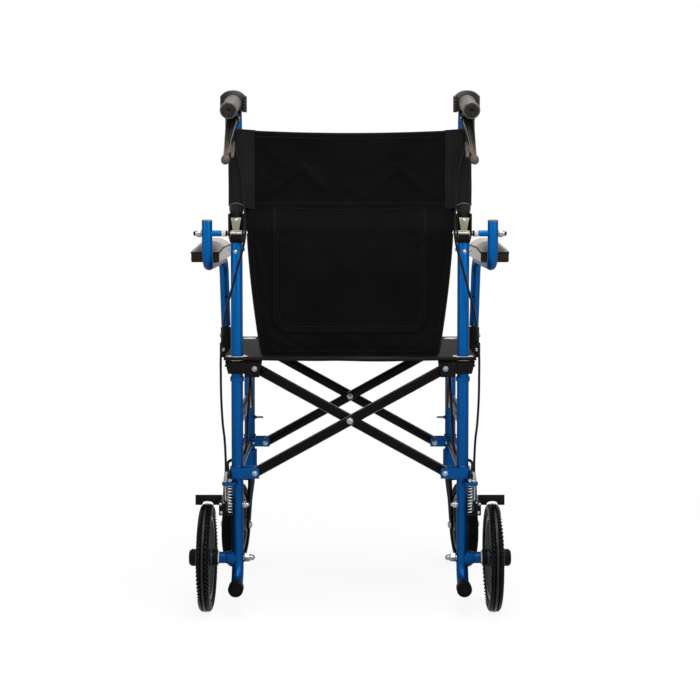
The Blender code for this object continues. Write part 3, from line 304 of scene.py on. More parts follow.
def leverFinish():
    # glass-filled nylon: black in its hollow, with a brown-grey painted sheen lower down towards the ball
    made, look = newFinish("glass-filled lever nylon", "#1A1714", 0.42, Specular_IOR_Level=0.2)
    tree, shader, coords = look
    place = addNode(tree, "ShaderNodeSeparateXYZ", links={"Vector": coords})
    values = {"Scale": perMetre(7), "Detail": 4.0}
    sheenBreakup = addNode(tree, "ShaderNodeTexNoise", values=values, links={"Vector": coords})
    props, links = {"operation": "MULTIPLY_ADD"}, {0: sheenBreakup.outputs["Fac"], 2: place.outputs["Z"]}
    shift = addNode(tree, "ShaderNodeMath", props=props, values={1: 0.008}, links=links)
    tones = paintedHeightLight(tree, shift.outputs[0], 0.852, 0.878, "#4B4137", "#0B0A0A")
    tree.links.new(tones, shader.inputs["Base Color"])
    grainBump(look, 1.0, 0.05, 0.35)
    return made


finish = {
    "blue": bluePaintFinish(),
    "enamel": blackEnamelFinish(),
    "forkEnamel": plasticFinish(
        "black fork enamel, dulled by the road", "#040404", "#0B0B0B", 0.62, 1.5, 0.02,
    ),
    "cloth": wovenFinish("black oxford polyester", "#030304", "#070708", 0.9, 0.04),
    # the same oxford cloth as the back, drawn lighter on the sleeves
    "sleeveCloth": wovenFinish("black oxford polyester, lighter on the sleeves", "#121112", "#191817", 0.9),
    "seatCloth": wovenFinish("black seat nylon", "#110F0E", "#171412", 1.0),
    "binding": wovenFinish("brown-black binding tape", "#110D0A", "#18130F", 0.7),
    "thread": plasticFinish("black bonded thread", "#111113", "#171719", 0.6, 0.4, 0.1),
    "nylon": plasticFinish("black moulded nylon", "#0A090A", "#111011", 0.46, 0.8, 0.06),
    "greyNylon": plasticFinish("slate moulded caster nylon", "#3C444E", "#4E5763", 0.36, 0.8, 0.25),
    "darkNylon": plasticFinish("slate moulded rim nylon", "#22262B", "#2E3338", 0.4, 0.8, 0.25),
    "whiteNylon": plasticFinish("natural white nylon", "#B5B1AA", "#C8C4BC", 0.42, 0.8, 0.3),
    "leverNylon": leverFinish(),
    # pale nylon; as thin tubes along the lever's rims, the clamp's arris and the sleeves' lower edge it is a
    # painted highlight; the armrest plug is moulded in it
    "rimNylon": plasticFinish("pale nylon, painted highlight on rims", "#60574D", "#766C60", 0.4, 1.0, 0.25),
    "clampNylon": plasticFinish("black brake clamp nylon", "#0B0A0A", "#161412", 0.32, 1.0, 0.2),
    "grip": rubberFinish("grip PVC", "#403A34", "#4F4841", 0.46, 0.4),
    "gripEnd": rubberFinish("grip end PVC", "#1B1A19", "#242322", 0.62, 0.1),
    "tyre": rubberFinish("tyre rubber", "#040404", "#080808", 0.6, 0.02),
    # tread bars: the tyre's rubber drawn a lighter blue-grey as painted glints, and smoother where the road
    # polishes it
    "tread": rubberFinish("tread rubber, polished by the road", "#070809", "#111316", 0.3, 0.17),
    # the ridge's brown is a painted sheen on the tyre's black rubber
    "ridge": rubberFinish("tread ridge, brown painted sheen", "#0F0C09", "#1A140E", 0.36, 0.2),
    "capRubber": rubberFinish("cap rubber", "#050505", "#0A0A0A", 0.6, 0.05),
    "jacket": plasticFinish("black PVC cable jacket", "#070707", "#0C0C0C", 0.34, 0.8, 0.12),
    "padSkin": padFinish(),
    "zinc": metalFinish("zinc plated steel", "#A2A6A8", "#555A5C", 0.22, "#151717"),
    "brightZinc": metalFinish("bright spring steel", "#BCC2C0", "#6A706E", 0.2),
    "passivated": metalFinish("yellow passivated zinc", "#928C79", "#6B6452", 0.3),
    # the same zinc plating, drawn darker and rougher for the axle nuts and the upper brace pins
    "dullZinc": metalFinish("zinc plated steel, drawn duller", "#959A9C", "#45494B", 0.24, "#121414"),
    "hingeZinc": metalFinish("hinge steel, plated in yellowish zinc", "#A09B8C", "#4E4A40", 0.26, "#14130F"),
}
print("finishes made:", len(finish))


def finishMesh(bm, name, material, smoothDegrees=35, weld=True):
    if weld:
        bmesh.ops.remove_doubles(bm, verts=bm.verts, dist=1e-6)
    bmesh.ops.recalc_face_normals(bm, faces=bm.faces)
    mesh = bpy.data.meshes.new(name)
    bm.to_mesh(mesh)
    bm.free()
    piece = bpy.data.objects.new(name, mesh)
    bpy.context.scene.collection.objects.link(piece)
    mesh.materials.append(finish[material])
    mesh.set_sharp_from_angle(angle=math.radians(smoothDegrees))
    return piece


def joinInto(bm, other):
    # adds another bmesh's faces to this one
    mesh = bpy.data.meshes.new("part")
    other.to_mesh(mesh)
    other.free()
    bm.from_mesh(mesh)
    bpy.data.meshes.remove(mesh)


def loftRings(rings):
    # closed body through rings of the same number of points
    bm = bmesh.new()
    rows = [[bm.verts.new(p) for p in ring] for ring in rings]
    count = len(rows[0])
    for a, b in zip(rows, rows[1:]):
        for i in range(count):
            j = (i + 1) % count
            bm.faces.new((a[i], a[j], b[j], b[i]))
    bm.faces.new(list(reversed(rows[0])))
    bm.faces.new(rows[-1])
    return bm


def smoothPath(points, perSpan=6):
    # Catmull-Rom curve through the points
    ends = [points[0] * 2 - points[1], *points, points[-1] * 2 - points[-2]]
    out = []
    for a, b, c, d in zip(ends, ends[1:], ends[2:], ends[3:]):
        for i in range(perSpan):
            t = i / perSpan
            bend = (2 * a - 5 * b + 4 * c - d) * t * t
            out.append(0.5 * (2 * b + (c - a) * t + bend + (3 * b - a - 3 * c + d) * t**3))
    out.append(points[-1])
    return out


def filletPath(points, radius, steps=10):
    # straight runs joined by round bends
    out = [points[0]]
    for a, b, c in zip(points, points[1:], points[2:]):
        into, away = (b - a).normalized(), (c - b).normalized()
        turn = into.angle(away)
        if turn < 1e-4:
            continue
        back = radius * math.tan(turn / 2)
        start = b - into * back
        centre = start + (away - into * into.dot(away)).normalized() * radius
        spoke = start - centre
        axis = into.cross(away).normalized()
        for i in range(steps + 1):
            out.append(centre + Matrix.Rotation(turn * i / steps, 3, axis) @ spoke)
    out.append(points[-1])
    return out


def framesAlong(points):
    # a direction and two crosswise ones at each point, carried on without twist
    tangents = []
    for i in range(len(points)):
        a, b = points[max(i - 1, 0)], points[min(i + 1, len(points) - 1)]
        tangents.append((b - a).normalized())
    across = tangents[0].orthogonal().normalized()
    frames = []
    for tangent in tangents:
        across = (across - tangent * across.dot(tangent)).normalized()
        frames.append((tangent, across, tangent.cross(across)))
    return frames


def ringAngles(sides):
    return [2 * math.pi * i / sides for i in range(sides)]


def circle(centre, axis, along, radius, sides):
    # points round an axle through centre, this far along it
    axis = Vector(axis).normalized()
    u = axis.orthogonal().normalized()
    v = axis.cross(u)
    middle = Vector(centre) + axis * along
    return [middle + (u * math.cos(t) + v * math.sin(t)) * radius for t in ringAngles(sides)]


def tube(points, radius, sides=32, endRound=0.0):
    # round bar along the points; endRound softens the rims of both ends
    points = list(points)
    radii = [radius] * len(points)
    if endRound:
        ends = []
        for end, towards in ((points[0], points[1]), (points[-1], points[-2])):
            inward = (towards - end).normalized()
            rim = []
            for a in (0.0, 0.4, 0.8, 1.2, math.pi / 2):
                rim.append(
                    (end + inward * endRound * (1 - math.sin(a)), radius - endRound * (1 - math.cos(a)))
                )
            ends.append(rim)
        rows = ends[0][::-1] + list(zip(points[1:-1], radii[1:-1])) + ends[1]
        points, radii = [r[0] for r in rows], [r[1] for r in rows]
    rings = []
    for point, r, (_, u, v) in zip(points, radii, framesAlong(points)):
        rings.append([point + (u * math.cos(t) + v * math.sin(t)) * r for t in ringAngles(sides)])
    return loftRings(rings)


def turned(profile, centre, axis, sides=32):
    # profile: (distance along the axis, radius) pairs; a radius of 0 closes the end
    bm = bmesh.new()
    rows = []
    for along, radius in profile:
        points = circle(centre, axis, along, radius, sides if radius > 1e-7 else 1)
        rows.append([bm.verts.new(point) for point in points])
    for a, b in zip(rows, rows[1:]):
        for i in range(sides):
            j = (i + 1) % sides
            corners = [a[i % len(a)], a[j % len(a)], b[j % len(b)], b[i % len(b)]]
            unique = list(dict.fromkeys(corners))
            if len(unique) > 2:
                bm.faces.new(unique)
    for row in (rows[0][::-1], rows[-1]):
        if len(row) > 1:
            bm.faces.new(row)
    return bm


def hexNut(centre, axis, acrossFlats, height, chamfer=0.0006):
    # hexagon with a small chamfer at both faces
    corner = acrossFlats / 2 / math.cos(math.pi / 6)
    levels = ((0, chamfer), (chamfer, 0), (height - chamfer, 0), (height, chamfer))
    return loftRings([circle(centre, axis, along, corner - shrink, 6) for along, shrink in levels])


def domeHead(centre, axis, radius, height, steps=5, sides=24):
    # button head: a short rim, then a dome
    profile = [(0, radius), (height * 0.2, radius)]
    for i in range(1, steps + 1):
        a = math.pi / 2 * i / steps
        profile.append((height * (0.2 + 0.8 * math.sin(a)), radius * math.cos(a)))
    return turned(profile, centre, axis, sides)


def bevelled(bm, width):
    edges = [e for e in bm.edges if e.is_manifold and e.calc_face_angle() > math.radians(30)]
    if width > 0 and edges:
        kind = {"offset_type": "OFFSET", "affect": "EDGES", "clamp_overlap": True}
        bmesh.ops.bevel(bm, geom=edges, offset=width, segments=2, profile=0.5, **kind)
    return bm


def prism(outline, low, high, axis, place=None, bevel=0.0):
    # outline in the two directions left after axis, drawn out from low to high
    bm = bmesh.new()
    order = {
        "x": lambda a, b, c: (c, a, b), "y": lambda a, b, c: (a, c, b), "z": lambda a, b, c: (a, b, c),
    }[axis]
    place = place or (lambda x, y, z: Vector((x, y, z)))
    rows = [[bm.verts.new(place(*order(a, b, level))) for a, b in outline] for level in (low, high)]
    count = len(outline)
    for i in range(count):
        j = (i + 1) % count
        bm.faces.new((rows[0][i], rows[0][j], rows[1][j], rows[1][i]))
    bm.faces.new(list(reversed(rows[0])))
    bm.faces.new(rows[1])
    bmesh.ops.recalc_face_normals(bm, faces=bm.faces)
    return bevelled(bm, bevel)


def slab(side, outline, low, high, axis, bevel):
    # prism in one side's own coordinates
    return prism(outline, low, high, axis, lambda x, y, z: at(side, x, y, z), bevel)


def box(side, low, high, bevel):
    outline = [(low[0], low[1]), (high[0], low[1]), (high[0], high[1]), (low[0], high[1])]
    return slab(side, outline, low[2], high[2], "z", bevel)


def add(bm, name, material, body, node=None, smoothDegrees=35, weld=True):
    # one finished piece: its body, its slot and the CAD node that it stands for
    piece = finishMesh(bm, f"{name}_finished" if node == name else name, material, smoothDegrees, weld)
    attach(piece, body)
    if node:
        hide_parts(node)
    return piece


def addSide(side, bm, name, material, body, node=None, *finishing):
    # add, with the side's word in every name; node True is the node of the piece's own name
    tag = word(side)
    node = name if node is True else node
    return add(bm, f"{name}_{tag}", material, f"{tag}_{body}", node and f"{node}_{tag}", *finishing)


def gathered(*parts):
    whole = bmesh.new()
    for part in parts:
        joinInto(whole, part)
    return whole


def shaped(side, *parts):
    # basic shapes in one side's own coordinates, gathered; each is a kind and its sizes
    ways = {"out": (side, 0, 0), "in": (-side, 0, 0), "back": (0, -1, 0), "front": (0, 1, 0)}
    ways |= {"up": (0, 0, 1), "down": (0, 0, -1)}
    made = []
    for kind, *sizes in parts:
        if kind == "tube":
            points, *rest = sizes
            made.append(tube([at(side, *point) for point in points], *rest))
        elif kind in ("slab", "box"):
            made.append((slab if kind == "slab" else box)(side, *sizes))
        else:
            place, way, *rest = sizes
            centre, axis = at(side, *place), ways[way]
            if kind == "turned":
                profile, count = rest
                made.append(turned(profile, centre, axis, count))
            else:
                made.append((domeHead if kind == "dome" else hexNut)(centre, axis, *rest))
    return gathered(*made)


def addFittings(side, body, fittings):
    # pieces that are only basic shapes: name, finish, node and shapes
    for name, (look, node, parts, *finishing) in fittings.items():
        addSide(side, shaped(side, *parts), name, look, body, node, *finishing)


# Geometry Nodes trees, for what repeats or follows a path


def newTree(name, inputs):
    tree = bpy.data.node_groups.new(name, "GeometryNodeTree")
    tree.interface.new_socket("Geometry", in_out="INPUT", socket_type="NodeSocketGeometry")
    for label, kind in inputs:
        tree.interface.new_socket(label, in_out="INPUT", socket_type=f"NodeSocket{kind}")
    tree.interface.new_socket("Geometry", in_out="OUTPUT", socket_type="NodeSocketGeometry")
    return tree, addNode(tree, "NodeGroupInput").outputs


def endTree(tree, geometry, material):
    whole = addNode(tree, "GeometryNodeRealizeInstances", links={"Geometry": geometry})
    dressed = addNode(
        tree, "GeometryNodeSetMaterial", links={"Geometry": whole.outputs[0], "Material": material},
    )
    addNode(tree, "NodeGroupOutput", links={"Geometry": dressed.outputs[0]})
    return tree


def pathTubeTree():
    # round tube along the edges of a mesh
    tree, given = newTree(
        "tube along a path", [("Radius", "Float"), ("Sides", "Int"), ("Material", "Material")],
    )
    line = addNode(tree, "GeometryNodeMeshToCurve", links={"Mesh": given["Geometry"]})
    ring = addNode(
        tree, "GeometryNodeCurvePrimitiveCircle",
        links={"Radius": given["Radius"], "Resolution": given["Sides"]},
    )
    links = {"Curve": line.outputs[0], "Profile Curve": ring.outputs["Curve"]}
    body = addNode(tree, "GeometryNodeCurveToMesh", values={"Fill Caps": True}, links=links)
    return endTree(tree, body.outputs[0], given["Material"])


def spunTree():
    # copies of the mesh turned about X through the centre
    tree, given = newTree("copies round an axle", [("Count", "Int"), ("Material", "Material")])
    points = addNode(
        tree, "GeometryNodeMeshLine", values={"Offset": (0, 0, 0)}, links={"Count": given["Count"]},
    )
    index = addNode(tree, "GeometryNodeInputIndex")
    share = addNode(
        tree, "ShaderNodeMath", props={"operation": "DIVIDE"},
        links={0: index.outputs[0], 1: given["Count"]},
    )
    angle = addNode(
        tree, "ShaderNodeMath", props={"operation": "MULTIPLY"}, values={1: 2 * math.pi},
        links={0: share.outputs[0]},
    )
    turn = addNode(tree, "ShaderNodeCombineXYZ", links={"X": angle.outputs[0]})
    toTurn = addNode(tree, "FunctionNodeEulerToRotation", links={"Euler": turn.outputs[0]})
    links = {"Points": points.outputs[0], "Instance": given["Geometry"], "Rotation": toTurn.outputs[0]}
    copies = addNode(tree, "GeometryNodeInstanceOnPoints", links=links)
    return endTree(tree, copies.outputs[0], given["Material"])


def stitchTree():
    # thread stitches, each a short rounded bar laid along the path
    inputs = [("Pitch", "Float"), ("Length", "Float"), ("Thickness", "Float"), ("Material", "Material")]
    tree, given = newTree("stitches along a path", inputs)
    line = addNode(tree, "GeometryNodeMeshToCurve", links={"Mesh": given["Geometry"]})
    spaced = addNode(
        tree, "GeometryNodeResampleCurve", props={"mode": "LENGTH"},
        links={"Curve": line.outputs[0], "Length": given["Pitch"]},
    )
    tangent = addNode(tree, "GeometryNodeInputTangent")
    turn = addNode(
        tree, "FunctionNodeAlignRotationToVector", props={"axis": "Z"},
        links={"Vector": tangent.outputs[0]},
    )
    values = {"Vertices": 6, "Side Segments": 1}
    links = {"Radius": given["Thickness"], "Depth": given["Length"]}
    bar = addNode(tree, "GeometryNodeMeshCylinder", values=values, links=links)
    links = {"Points": spaced.outputs[0], "Instance": bar.outputs["Mesh"], "Rotation": turn.outputs[0]}
    copies = addNode(tree, "GeometryNodeInstanceOnPoints", links=links)
    return endTree(tree, copies.outputs[0], given["Material"])


trees = {"tube": pathTubeTree(), "spun": spunTree(), "stitches": stitchTree()}


def runTree(kind, source, **values):
    # the tree's result on this mesh, as a plain mesh
    holder = bpy.data.objects.new("holder", source)
    bpy.context.scene.collection.objects.link(holder)
    modifier = holder.modifiers.new("nodes", "NODES")
    modifier.node_group = trees[kind]
    sockets = {
        item.name: item.identifier
        for item in trees[kind].interface.items_tree if item.in_out == "INPUT"
    }
    for label, value in values.items():
        modifier[sockets[label]] = value
    depsgraph = bpy.context.evaluated_depsgraph_get()
    made = bpy.data.meshes.new_from_object(holder.evaluated_get(depsgraph))
    bpy.data.objects.remove(holder)
    bpy.data.meshes.remove(source)
    return made


def lineMesh(paths):
    mesh = bpy.data.meshes.new("line")
    points, edges = [], []
    for path in paths:
        first = len(points)
        points += [tuple(p) for p in path]
        edges += [(i, i + 1) for i in range(first, first + len(path) - 1)]
    mesh.from_pydata(points, edges, [])
    return mesh


def asBmesh(mesh):
    bm = bmesh.new()
    bm.from_mesh(mesh)
    bpy.data.meshes.remove(mesh)
    return bm


def pathTube(points, radius, material, sides=16):
    made = asBmesh(runTree("tube", lineMesh([points]), Radius=radius, Sides=sides, Material=finish[material]))
    bmesh.ops.remove_doubles(made, verts=made.verts, dist=1e-6)
    return made


def spun(bm, count, centre, axis, material):
    # bm is drawn about X at the origin; its copies go round an axle through centre
    mesh = bpy.data.meshes.new("one")
    bm.to_mesh(mesh)
    bm.free()
    made = asBmesh(runTree("spun", mesh, Count=count, Material=finish[material]))
    turn = Vector((1, 0, 0)).rotation_difference(Vector(axis)).to_matrix().to_4x4()
    bmesh.ops.transform(made, matrix=Matrix.Translation(centre) @ turn, verts=made.verts)
    return made


def stitches(paths, pitch=0.0042, length=0.003):
    values = {"Pitch": pitch, "Length": length, "Thickness": 0.00045, "Material": finish["thread"]}
    return asBmesh(runTree("stitches", lineMesh(paths), **values))


# camera, floor and light


photo = {
    "distance": 2.75,  # from the camera to the rear posts' plane
    "height": 0.7734,
    "lensMm": 76.57,
    # the photo's camera is level; this tilt keeps the shift small and moves nothing by 2 px
    "pitchDegrees": 3.0,
    "shiftY": -0.1079,
}


def makeCamera():
    data = bpy.data.cameras.new("camera")
    data.lens = photo["lensMm"]
    data.sensor_width = 36
    data.shift_y = photo["shiftY"]
    data.clip_end = 60
    camera = bpy.data.objects.new("camera", data)
    camera.location = at(1, 0, -photo["distance"], photo["height"])
    camera.rotation_euler = (math.radians(90 - photo["pitchDegrees"]), 0, 0)
    bpy.context.scene.collection.objects.link(camera)
    bpy.context.scene.camera = camera


studio = {
    "skyLevel": 0.42,
    "floorWhite": 0.9,  # share of plain white in the floor as the camera sees it; the rest takes the shadow
    "fadeStart": 0.5,  # from here the floor fades out, up to its rim
    "floorReach": 1.6,
    "floorColour": "#F6F5F3",
    # place, width, height, watts; every lamp looks at the chair's middle
    "lamps": [
        ("overhead", (0.2, -0.2, 2.6), 1.8, 1.6, 46),
        ("left", (-2.3, -2.0, 1.7), 0.9, 1.8, 14),
        ("right", (2.0, -2.5, 2.0), 0.9, 1.8, 34),
        ("middle", (0.0, -1.15, 1.55), 0.5, 0.4, 9),
    ],
}


def seenShare(tree):
    # 1 for what is seen straight, in a mirror or through glass
    path = addNode(tree, "ShaderNodeLightPath")
    share = path.outputs["Is Camera Ray"]
    for kind in ("Glossy", "Transmission"):
        links = {0: share, 1: path.outputs[f"Is {kind} Ray"]}
        share = addNode(tree, "ShaderNodeMath", props={"operation": "MAXIMUM"}, links=links).outputs[0]
    return share


def makeWorld():
    # even light from all round; anything seen straight, in a mirror or through glass is plain white
    world = bpy.data.worlds.new("studio")
    world.use_nodes = True
    bpy.context.scene.world = world
    tree = world.node_tree
    tree.nodes.clear()
    light = addNode(
        tree, "ShaderNodeBackground", values={"Color": (1, 1, 1, 1), "Strength": studio["skyLevel"]},
    )
    white = addNode(tree, "ShaderNodeBackground", values={"Color": (1, 1, 1, 1), "Strength": 1.0})
    mix = addNode(
        tree, "ShaderNodeMixShader", links={0: seenShare(tree), 1: light.outputs[0], 2: white.outputs[0]},
    )
    addNode(tree, "ShaderNodeOutputWorld", links={"Surface": mix.outputs[0]})


def makeFloor():
    # pale sheet that keeps the chair's shadow and fades into the white further away
    made = bpy.data.materials.new("pale studio floor")
    made.use_nodes = True
    tree = made.node_tree
    shader = tree.nodes["Principled BSDF"]
    shader.inputs["Base Color"].default_value = hexColour(studio["floorColour"])
    shader.inputs["Roughness"].default_value = 0.7
    shader.inputs["Specular IOR Level"].default_value = 0.1
    coords = addNode(tree, "ShaderNodeTexCoord")
    far = addNode(
        tree, "ShaderNodeVectorMath", props={"operation": "LENGTH"}, links={0: coords.outputs["Object"]},
    )
    props, links = {"interpolation_type": "SMOOTHSTEP"}, {"Value": far.outputs["Value"]}
    values = {"From Min": studio["fadeStart"], "From Max": studio["floorReach"]}
    fade = addNode(tree, "ShaderNodeMapRange", props=props, values=values, links=links)
    share = addNode(
        tree, "ShaderNodeMath", props={"operation": "MULTIPLY"}, values={1: studio["floorWhite"]},
        links={0: seenShare(tree)},
    )
    white = addNode(tree, "ShaderNodeEmission", values={"Color": (1, 1, 1, 1), "Strength": 1.0})
    lit = addNode(
        tree, "ShaderNodeMixShader", links={0: share.outputs[0], 1: shader.outputs[0], 2: white.outputs[0]},
    )
    clear = addNode(tree, "ShaderNodeBsdfTransparent")
    mix = addNode(
        tree, "ShaderNodeMixShader", links={0: fade.outputs[0], 1: lit.outputs[0], 2: clear.outputs[0]},
    )
    tree.links.new(mix.outputs[0], tree.nodes["Material Output"].inputs["Surface"])
    bm = bmesh.new()
    reach = studio["floorReach"]
    bm.faces.new([bm.verts.new((reach * math.cos(t), reach * math.sin(t), -0.0005)) for t in ringAngles(48)])
    mesh = bpy.data.meshes.new("floor")
    bm.to_mesh(mesh)
    bm.free()
    floor = bpy.data.objects.new("floor", mesh)
    mesh.materials.append(made)
    bpy.context.scene.collection.objects.link(floor)


def makeLamps():
    for name, place, wide, high, watts in studio["lamps"]:
        data = bpy.data.lights.new(name, "AREA")
        data.shape = "RECTANGLE"
        data.size = wide
        data.size_y = high
        data.energy = watts
        lamp = bpy.data.objects.new(name, data)
        lamp.location = place
        lamp.rotation_euler = (Vector((0, 0, 0.5)) - Vector(place)).to_track_quat("-Z", "Y").to_euler()
        bpy.context.scene.collection.objects.link(lamp)


makeCamera()
makeWorld()
makeFloor()
makeLamps()
bpy.context.scene.view_settings.view_transform = "Standard"
print("camera, floor and light made")


# brake cables: two per side, each going back into the chair


cables = {
    # outward, from the rear posts' axis, height
    "attendant": {
        "radius": 0.0022,
        "knots": [
            (0.2092, -0.0285, 0.871), (0.2055, -0.0245, 0.855), (0.2017, -0.022, 0.8364),
            (0.1972, -0.0208, 0.809), (0.1944, -0.021, 0.776), (0.1925, -0.0216, 0.745),
            (0.1916, -0.0222, 0.723), (0.1919, -0.0226, 0.705), (0.1958, -0.0234, 0.68),
            (0.2078, -0.024, 0.637), (0.219, -0.024, 0.596), (0.228, -0.024, 0.562),
            (0.2325, -0.0235, 0.531), (0.2375, -0.0215, 0.484), (0.238, -0.02, 0.44),
            (0.2374, -0.019, 0.3979), (0.235, -0.019, 0.355), (0.2316, -0.02, 0.3258),
            (0.2297, -0.0213, 0.29), (0.2294, -0.0215, 0.2658),
        ],
    },
    "parking": {
        "radius": 0.0027,
        "knots": [
            (0.1895, 0.15, 0.356), (0.1893, 0.12, 0.385), (0.1887, 0.085, 0.424), (0.1883, 0.056, 0.435),
            (0.1886, 0.038, 0.418), (0.1902, 0.029, 0.385), (0.1925, 0.025, 0.34), (0.1952, 0.0225, 0.302),
            (0.203, 0.02, 0.2865), (0.215, 0.017, 0.283), (0.2268, 0.004, 0.279), (0.2262, -0.014, 0.271),
            (0.2228, -0.0213, 0.261), (0.2225, -0.0215, 0.2524),
        ],
    },
    "sides": 16,
    "bendHigh": 0.75,  # the attendant cable bends with the back between these heights
    "bendLow": 0.66,
}


def makeCable(kind, side):
    made = cables[kind]
    path = smoothPath([at(side, *knot) for knot in made["knots"]], 6)
    name = f"{kind}_cable_{word(side)}"
    piece = finishMesh(pathTube(path, made["radius"], "jacket", cables["sides"]), name, "jacket", 50)
    if kind == "attendant":
        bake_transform(piece)
    else:
        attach(piece, f"{word(side)}_side_frame")
    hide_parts(f"{kind}_brake_cable_{word(side)}")


for side in sides:
    for kind in ("attendant", "parking"):
        makeCable(kind, side)
print("cables made")


# side frames: posts, rails and what is welded or bolted to them


post = {
    "radius": 0.011, "sides": 48, "softEnd": 0.0006,  # softEnd rounds a cut tube's rim
    "topZ": 0.6982, "tipZ": 0.0545, "tipBend": 0.04, "tipEndY": -0.058,
    "axle": (0.2105, 0, 0.1),  # where the stub leaves the post
    "stub": [(0, 0.0107), (0.0348, 0.0107), (0.0355, 0.01)],
    "flare": [
        (0, 0.019), (0.0085, 0.018), (0.0105, 0.016), (0.013, 0.0138), (0.0165, 0.012), (0.021, 0.011),
        (0.0225, 0.01),
    ],
    "flareReach": 0.0107,
    "tab": [
        (0.215, -0.029), (0.227, -0.029), (0.233, -0.0275), (0.2362, -0.0235), (0.2368, -0.019),
        (0.2362, -0.013), (0.233, -0.008), (0.227, -0.006), (0.207, -0.006), (0.207, -0.01),
    ],
    "tabZ": (0.2396, 0.2459),
    "bracketZ": (0.2512, 0.2712),
}
bracket = {"outer": 0.2225, "waist": 0.1965, "half": 0.0173, "lug": 0.013, "corner": 0.003, "bevel": 0.0014}


def weldBead(place, way, radius, size=0.0022, steps=5):
    # soft fillet where one tube meets another, painted over
    profile = [(-0.001, radius - 0.001)]
    for i in range(steps + 1):
        a = math.pi / 2 * i / steps
        profile.append((size * (1 - math.cos(a)), radius + size * (1 - math.sin(a))))
    return ("turned", place, way, profile, 40)


def braceBracket(y, inner, low, high):
    # folded steel channel welded round the post, its two lugs reaching in on either side of the brace arm
    outer, waist, half, lug, corner, bevel = bracket.values()
    outline = [(inner, -half), (outer - corner, -half), (outer, corner - half), (outer, half - corner)]
    outline += [
        (outer - corner, half), (inner, half), (inner, lug), (waist, lug), (waist, -lug), (inner, -lug),
    ]
    return ("slab", [(a, y + b) for a, b in outline], low, high, "z", bevel)


def boltThrough(x, y0, y1, z, radius, headHeight):
    # button head on a washer behind, nut with its thread end in front
    washer = [(0, radius + 0.0012), (0.0008, radius + 0.0012), (0.001, radius + 0.0009)]
    return [
        ("turned", (x, y0, z), "back", washer, 32),
        ("dome", (x, y0 - 0.001, z), "back", radius, headHeight),
        ("nut", (x, y1, z), "front", radius * 1.7, 0.0045),
        ("turned", (x, y1, z), "front", [(0, 0.003), (0.0062, 0.003), (0.0068, 0.0024)], 20),
    ]


def makeRearPost(side):
    corners = [(postX, 0, post["topZ"]), (postX, 0, post["tipZ"]), (postX, post["tipEndY"], post["tipZ"])]
    path = filletPath([at(side, *corner) for corner in corners], post["tipBend"], 14)
    # weld that runs out from the post on to the stub, no wider than the post
    flare = shaped(side, ("turned", post["axle"], "out", post["flare"], 40))
    axleZ, limit = post["axle"][2], post["flareReach"]
    for vert in flare.verts:
        across, up = vert.co.y - chair["rearY"], vert.co.z - axleZ
        reach = math.hypot(across, up)
        if reach > limit:
            vert.co.y = chair["rearY"] + across * limit / reach
            if up > 0:
                vert.co.z = axleZ + up * (0.55 + 0.45 * limit / reach)
    low, high = post["bracketZ"]
    whole = gathered(
        tube(path, post["radius"], post["sides"], post["softEnd"]),
        shaped(side, ("turned", post["axle"], "out", post["stub"], 40)),
        flare,
        shaped(
            side,
            ("slab", post["tab"], *post["tabZ"], "z", 0.0012),
            braceBracket(0, 0.168, low, high),
            weldBead((postX, 0, high), "up", post["radius"], 0.0034),
            weldBead((postX, 0, low), "down", post["radius"]),
        ),
    )
    addSide(side, whole, "rear_post", "blue", "side_frame", True)


postFittings = {
    "post_collar": ("blue", None, [("turned", (postX, 0, 0.431), "up", [
        (0, 0.011), (0, 0.0124), (0.0006, 0.013), (0.008, 0.013), (0.0086, 0.0124), (0.0086, 0.011),
    ], 48)]),
    "axle_nut": ("dullZinc", None, [
        ("turned", (0.244, 0, 0.1), "out", [(0, 0.006), (0.04, 0.006)], 24),
        ("turned", (0.199, 0, 0.1), "in", [(0, 0.0082), (0.0016, 0.0086), (0.0022, 0.008)], 40),
        ("nut", (0.197, 0, 0.1), "in", 0.0152, 0.01, 0.001),
        ("turned", (0.199, 0, 0.1), "in", [(0.012, 0.0058), (0.0135, 0.0058), (0.0138, 0.0054)], 32),
        ("dome", (0.1854, 0, 0.1), "in", 0.0054, 0.008, 6),
    ]),
    "axle_washer": ("whiteNylon", None, [
        (
            "turned", (0.2441, 0, 0.1), "out",
            [(0, 0.0118), (0.0006, 0.0124), (0.0018, 0.0124), (0.0022, 0.0118)], 40,
        ),
    ]),
    "brake_pivot_bolt": ("zinc", None, [
        ("turned", (0.213, 0, 0.2), "out", [(0, 0.0045), (0.03, 0.0045)], 24),
        ("nut", (0.1985, 0, 0.2), "in", 0.0112, 0.0055),
        ("dome", (0.193, 0, 0.2), "in", 0.0042, 0.0058),
        ("turned", (0.2, 0, 0.2), "in", [(0, 0.0072), (0.001, 0.0074), (0.0016, 0.0068)], 32),
    ]),
    # ferrules and adjusting nuts of the two brake cables, on the tab
    "cable_ends": ("zinc", None, [
        ("turned", (0.2294, -0.0215, 0.2425), "up", [
            (0, 0.0034), (0.0005, 0.0037), (0.0055, 0.0037), (0.006, 0.0028), (0.0075, 0.0028),
            (0.008, 0.0034), (0.015, 0.0034), (0.019, 0.003), (0.023, 0.0026),
        ], 24),
        ("nut", (0.2294, -0.0215, 0.2459), "up", 0.0082, 0.004),
        ("turned", (0.2225, -0.0215, 0.2425), "up", [(0, 0.003), (0.007, 0.003), (0.01, 0.0024)], 24),
        ("nut", (0.2225, -0.0215, 0.2459), "up", 0.0066, 0.003),
    ]),
}


frontPost = {"casterX": 0.232, "casterY": 0.372, "topZ": 0.4455, "bottomZ": 0.207, "hookZ": 0.3136}
armX, armY = (0.208, 0.258), (frontY - 0.01, frontY + 0.008)  # arm that carries the armrest socket
hookY, hookZ = frontY - 0.004, frontPost["hookZ"]


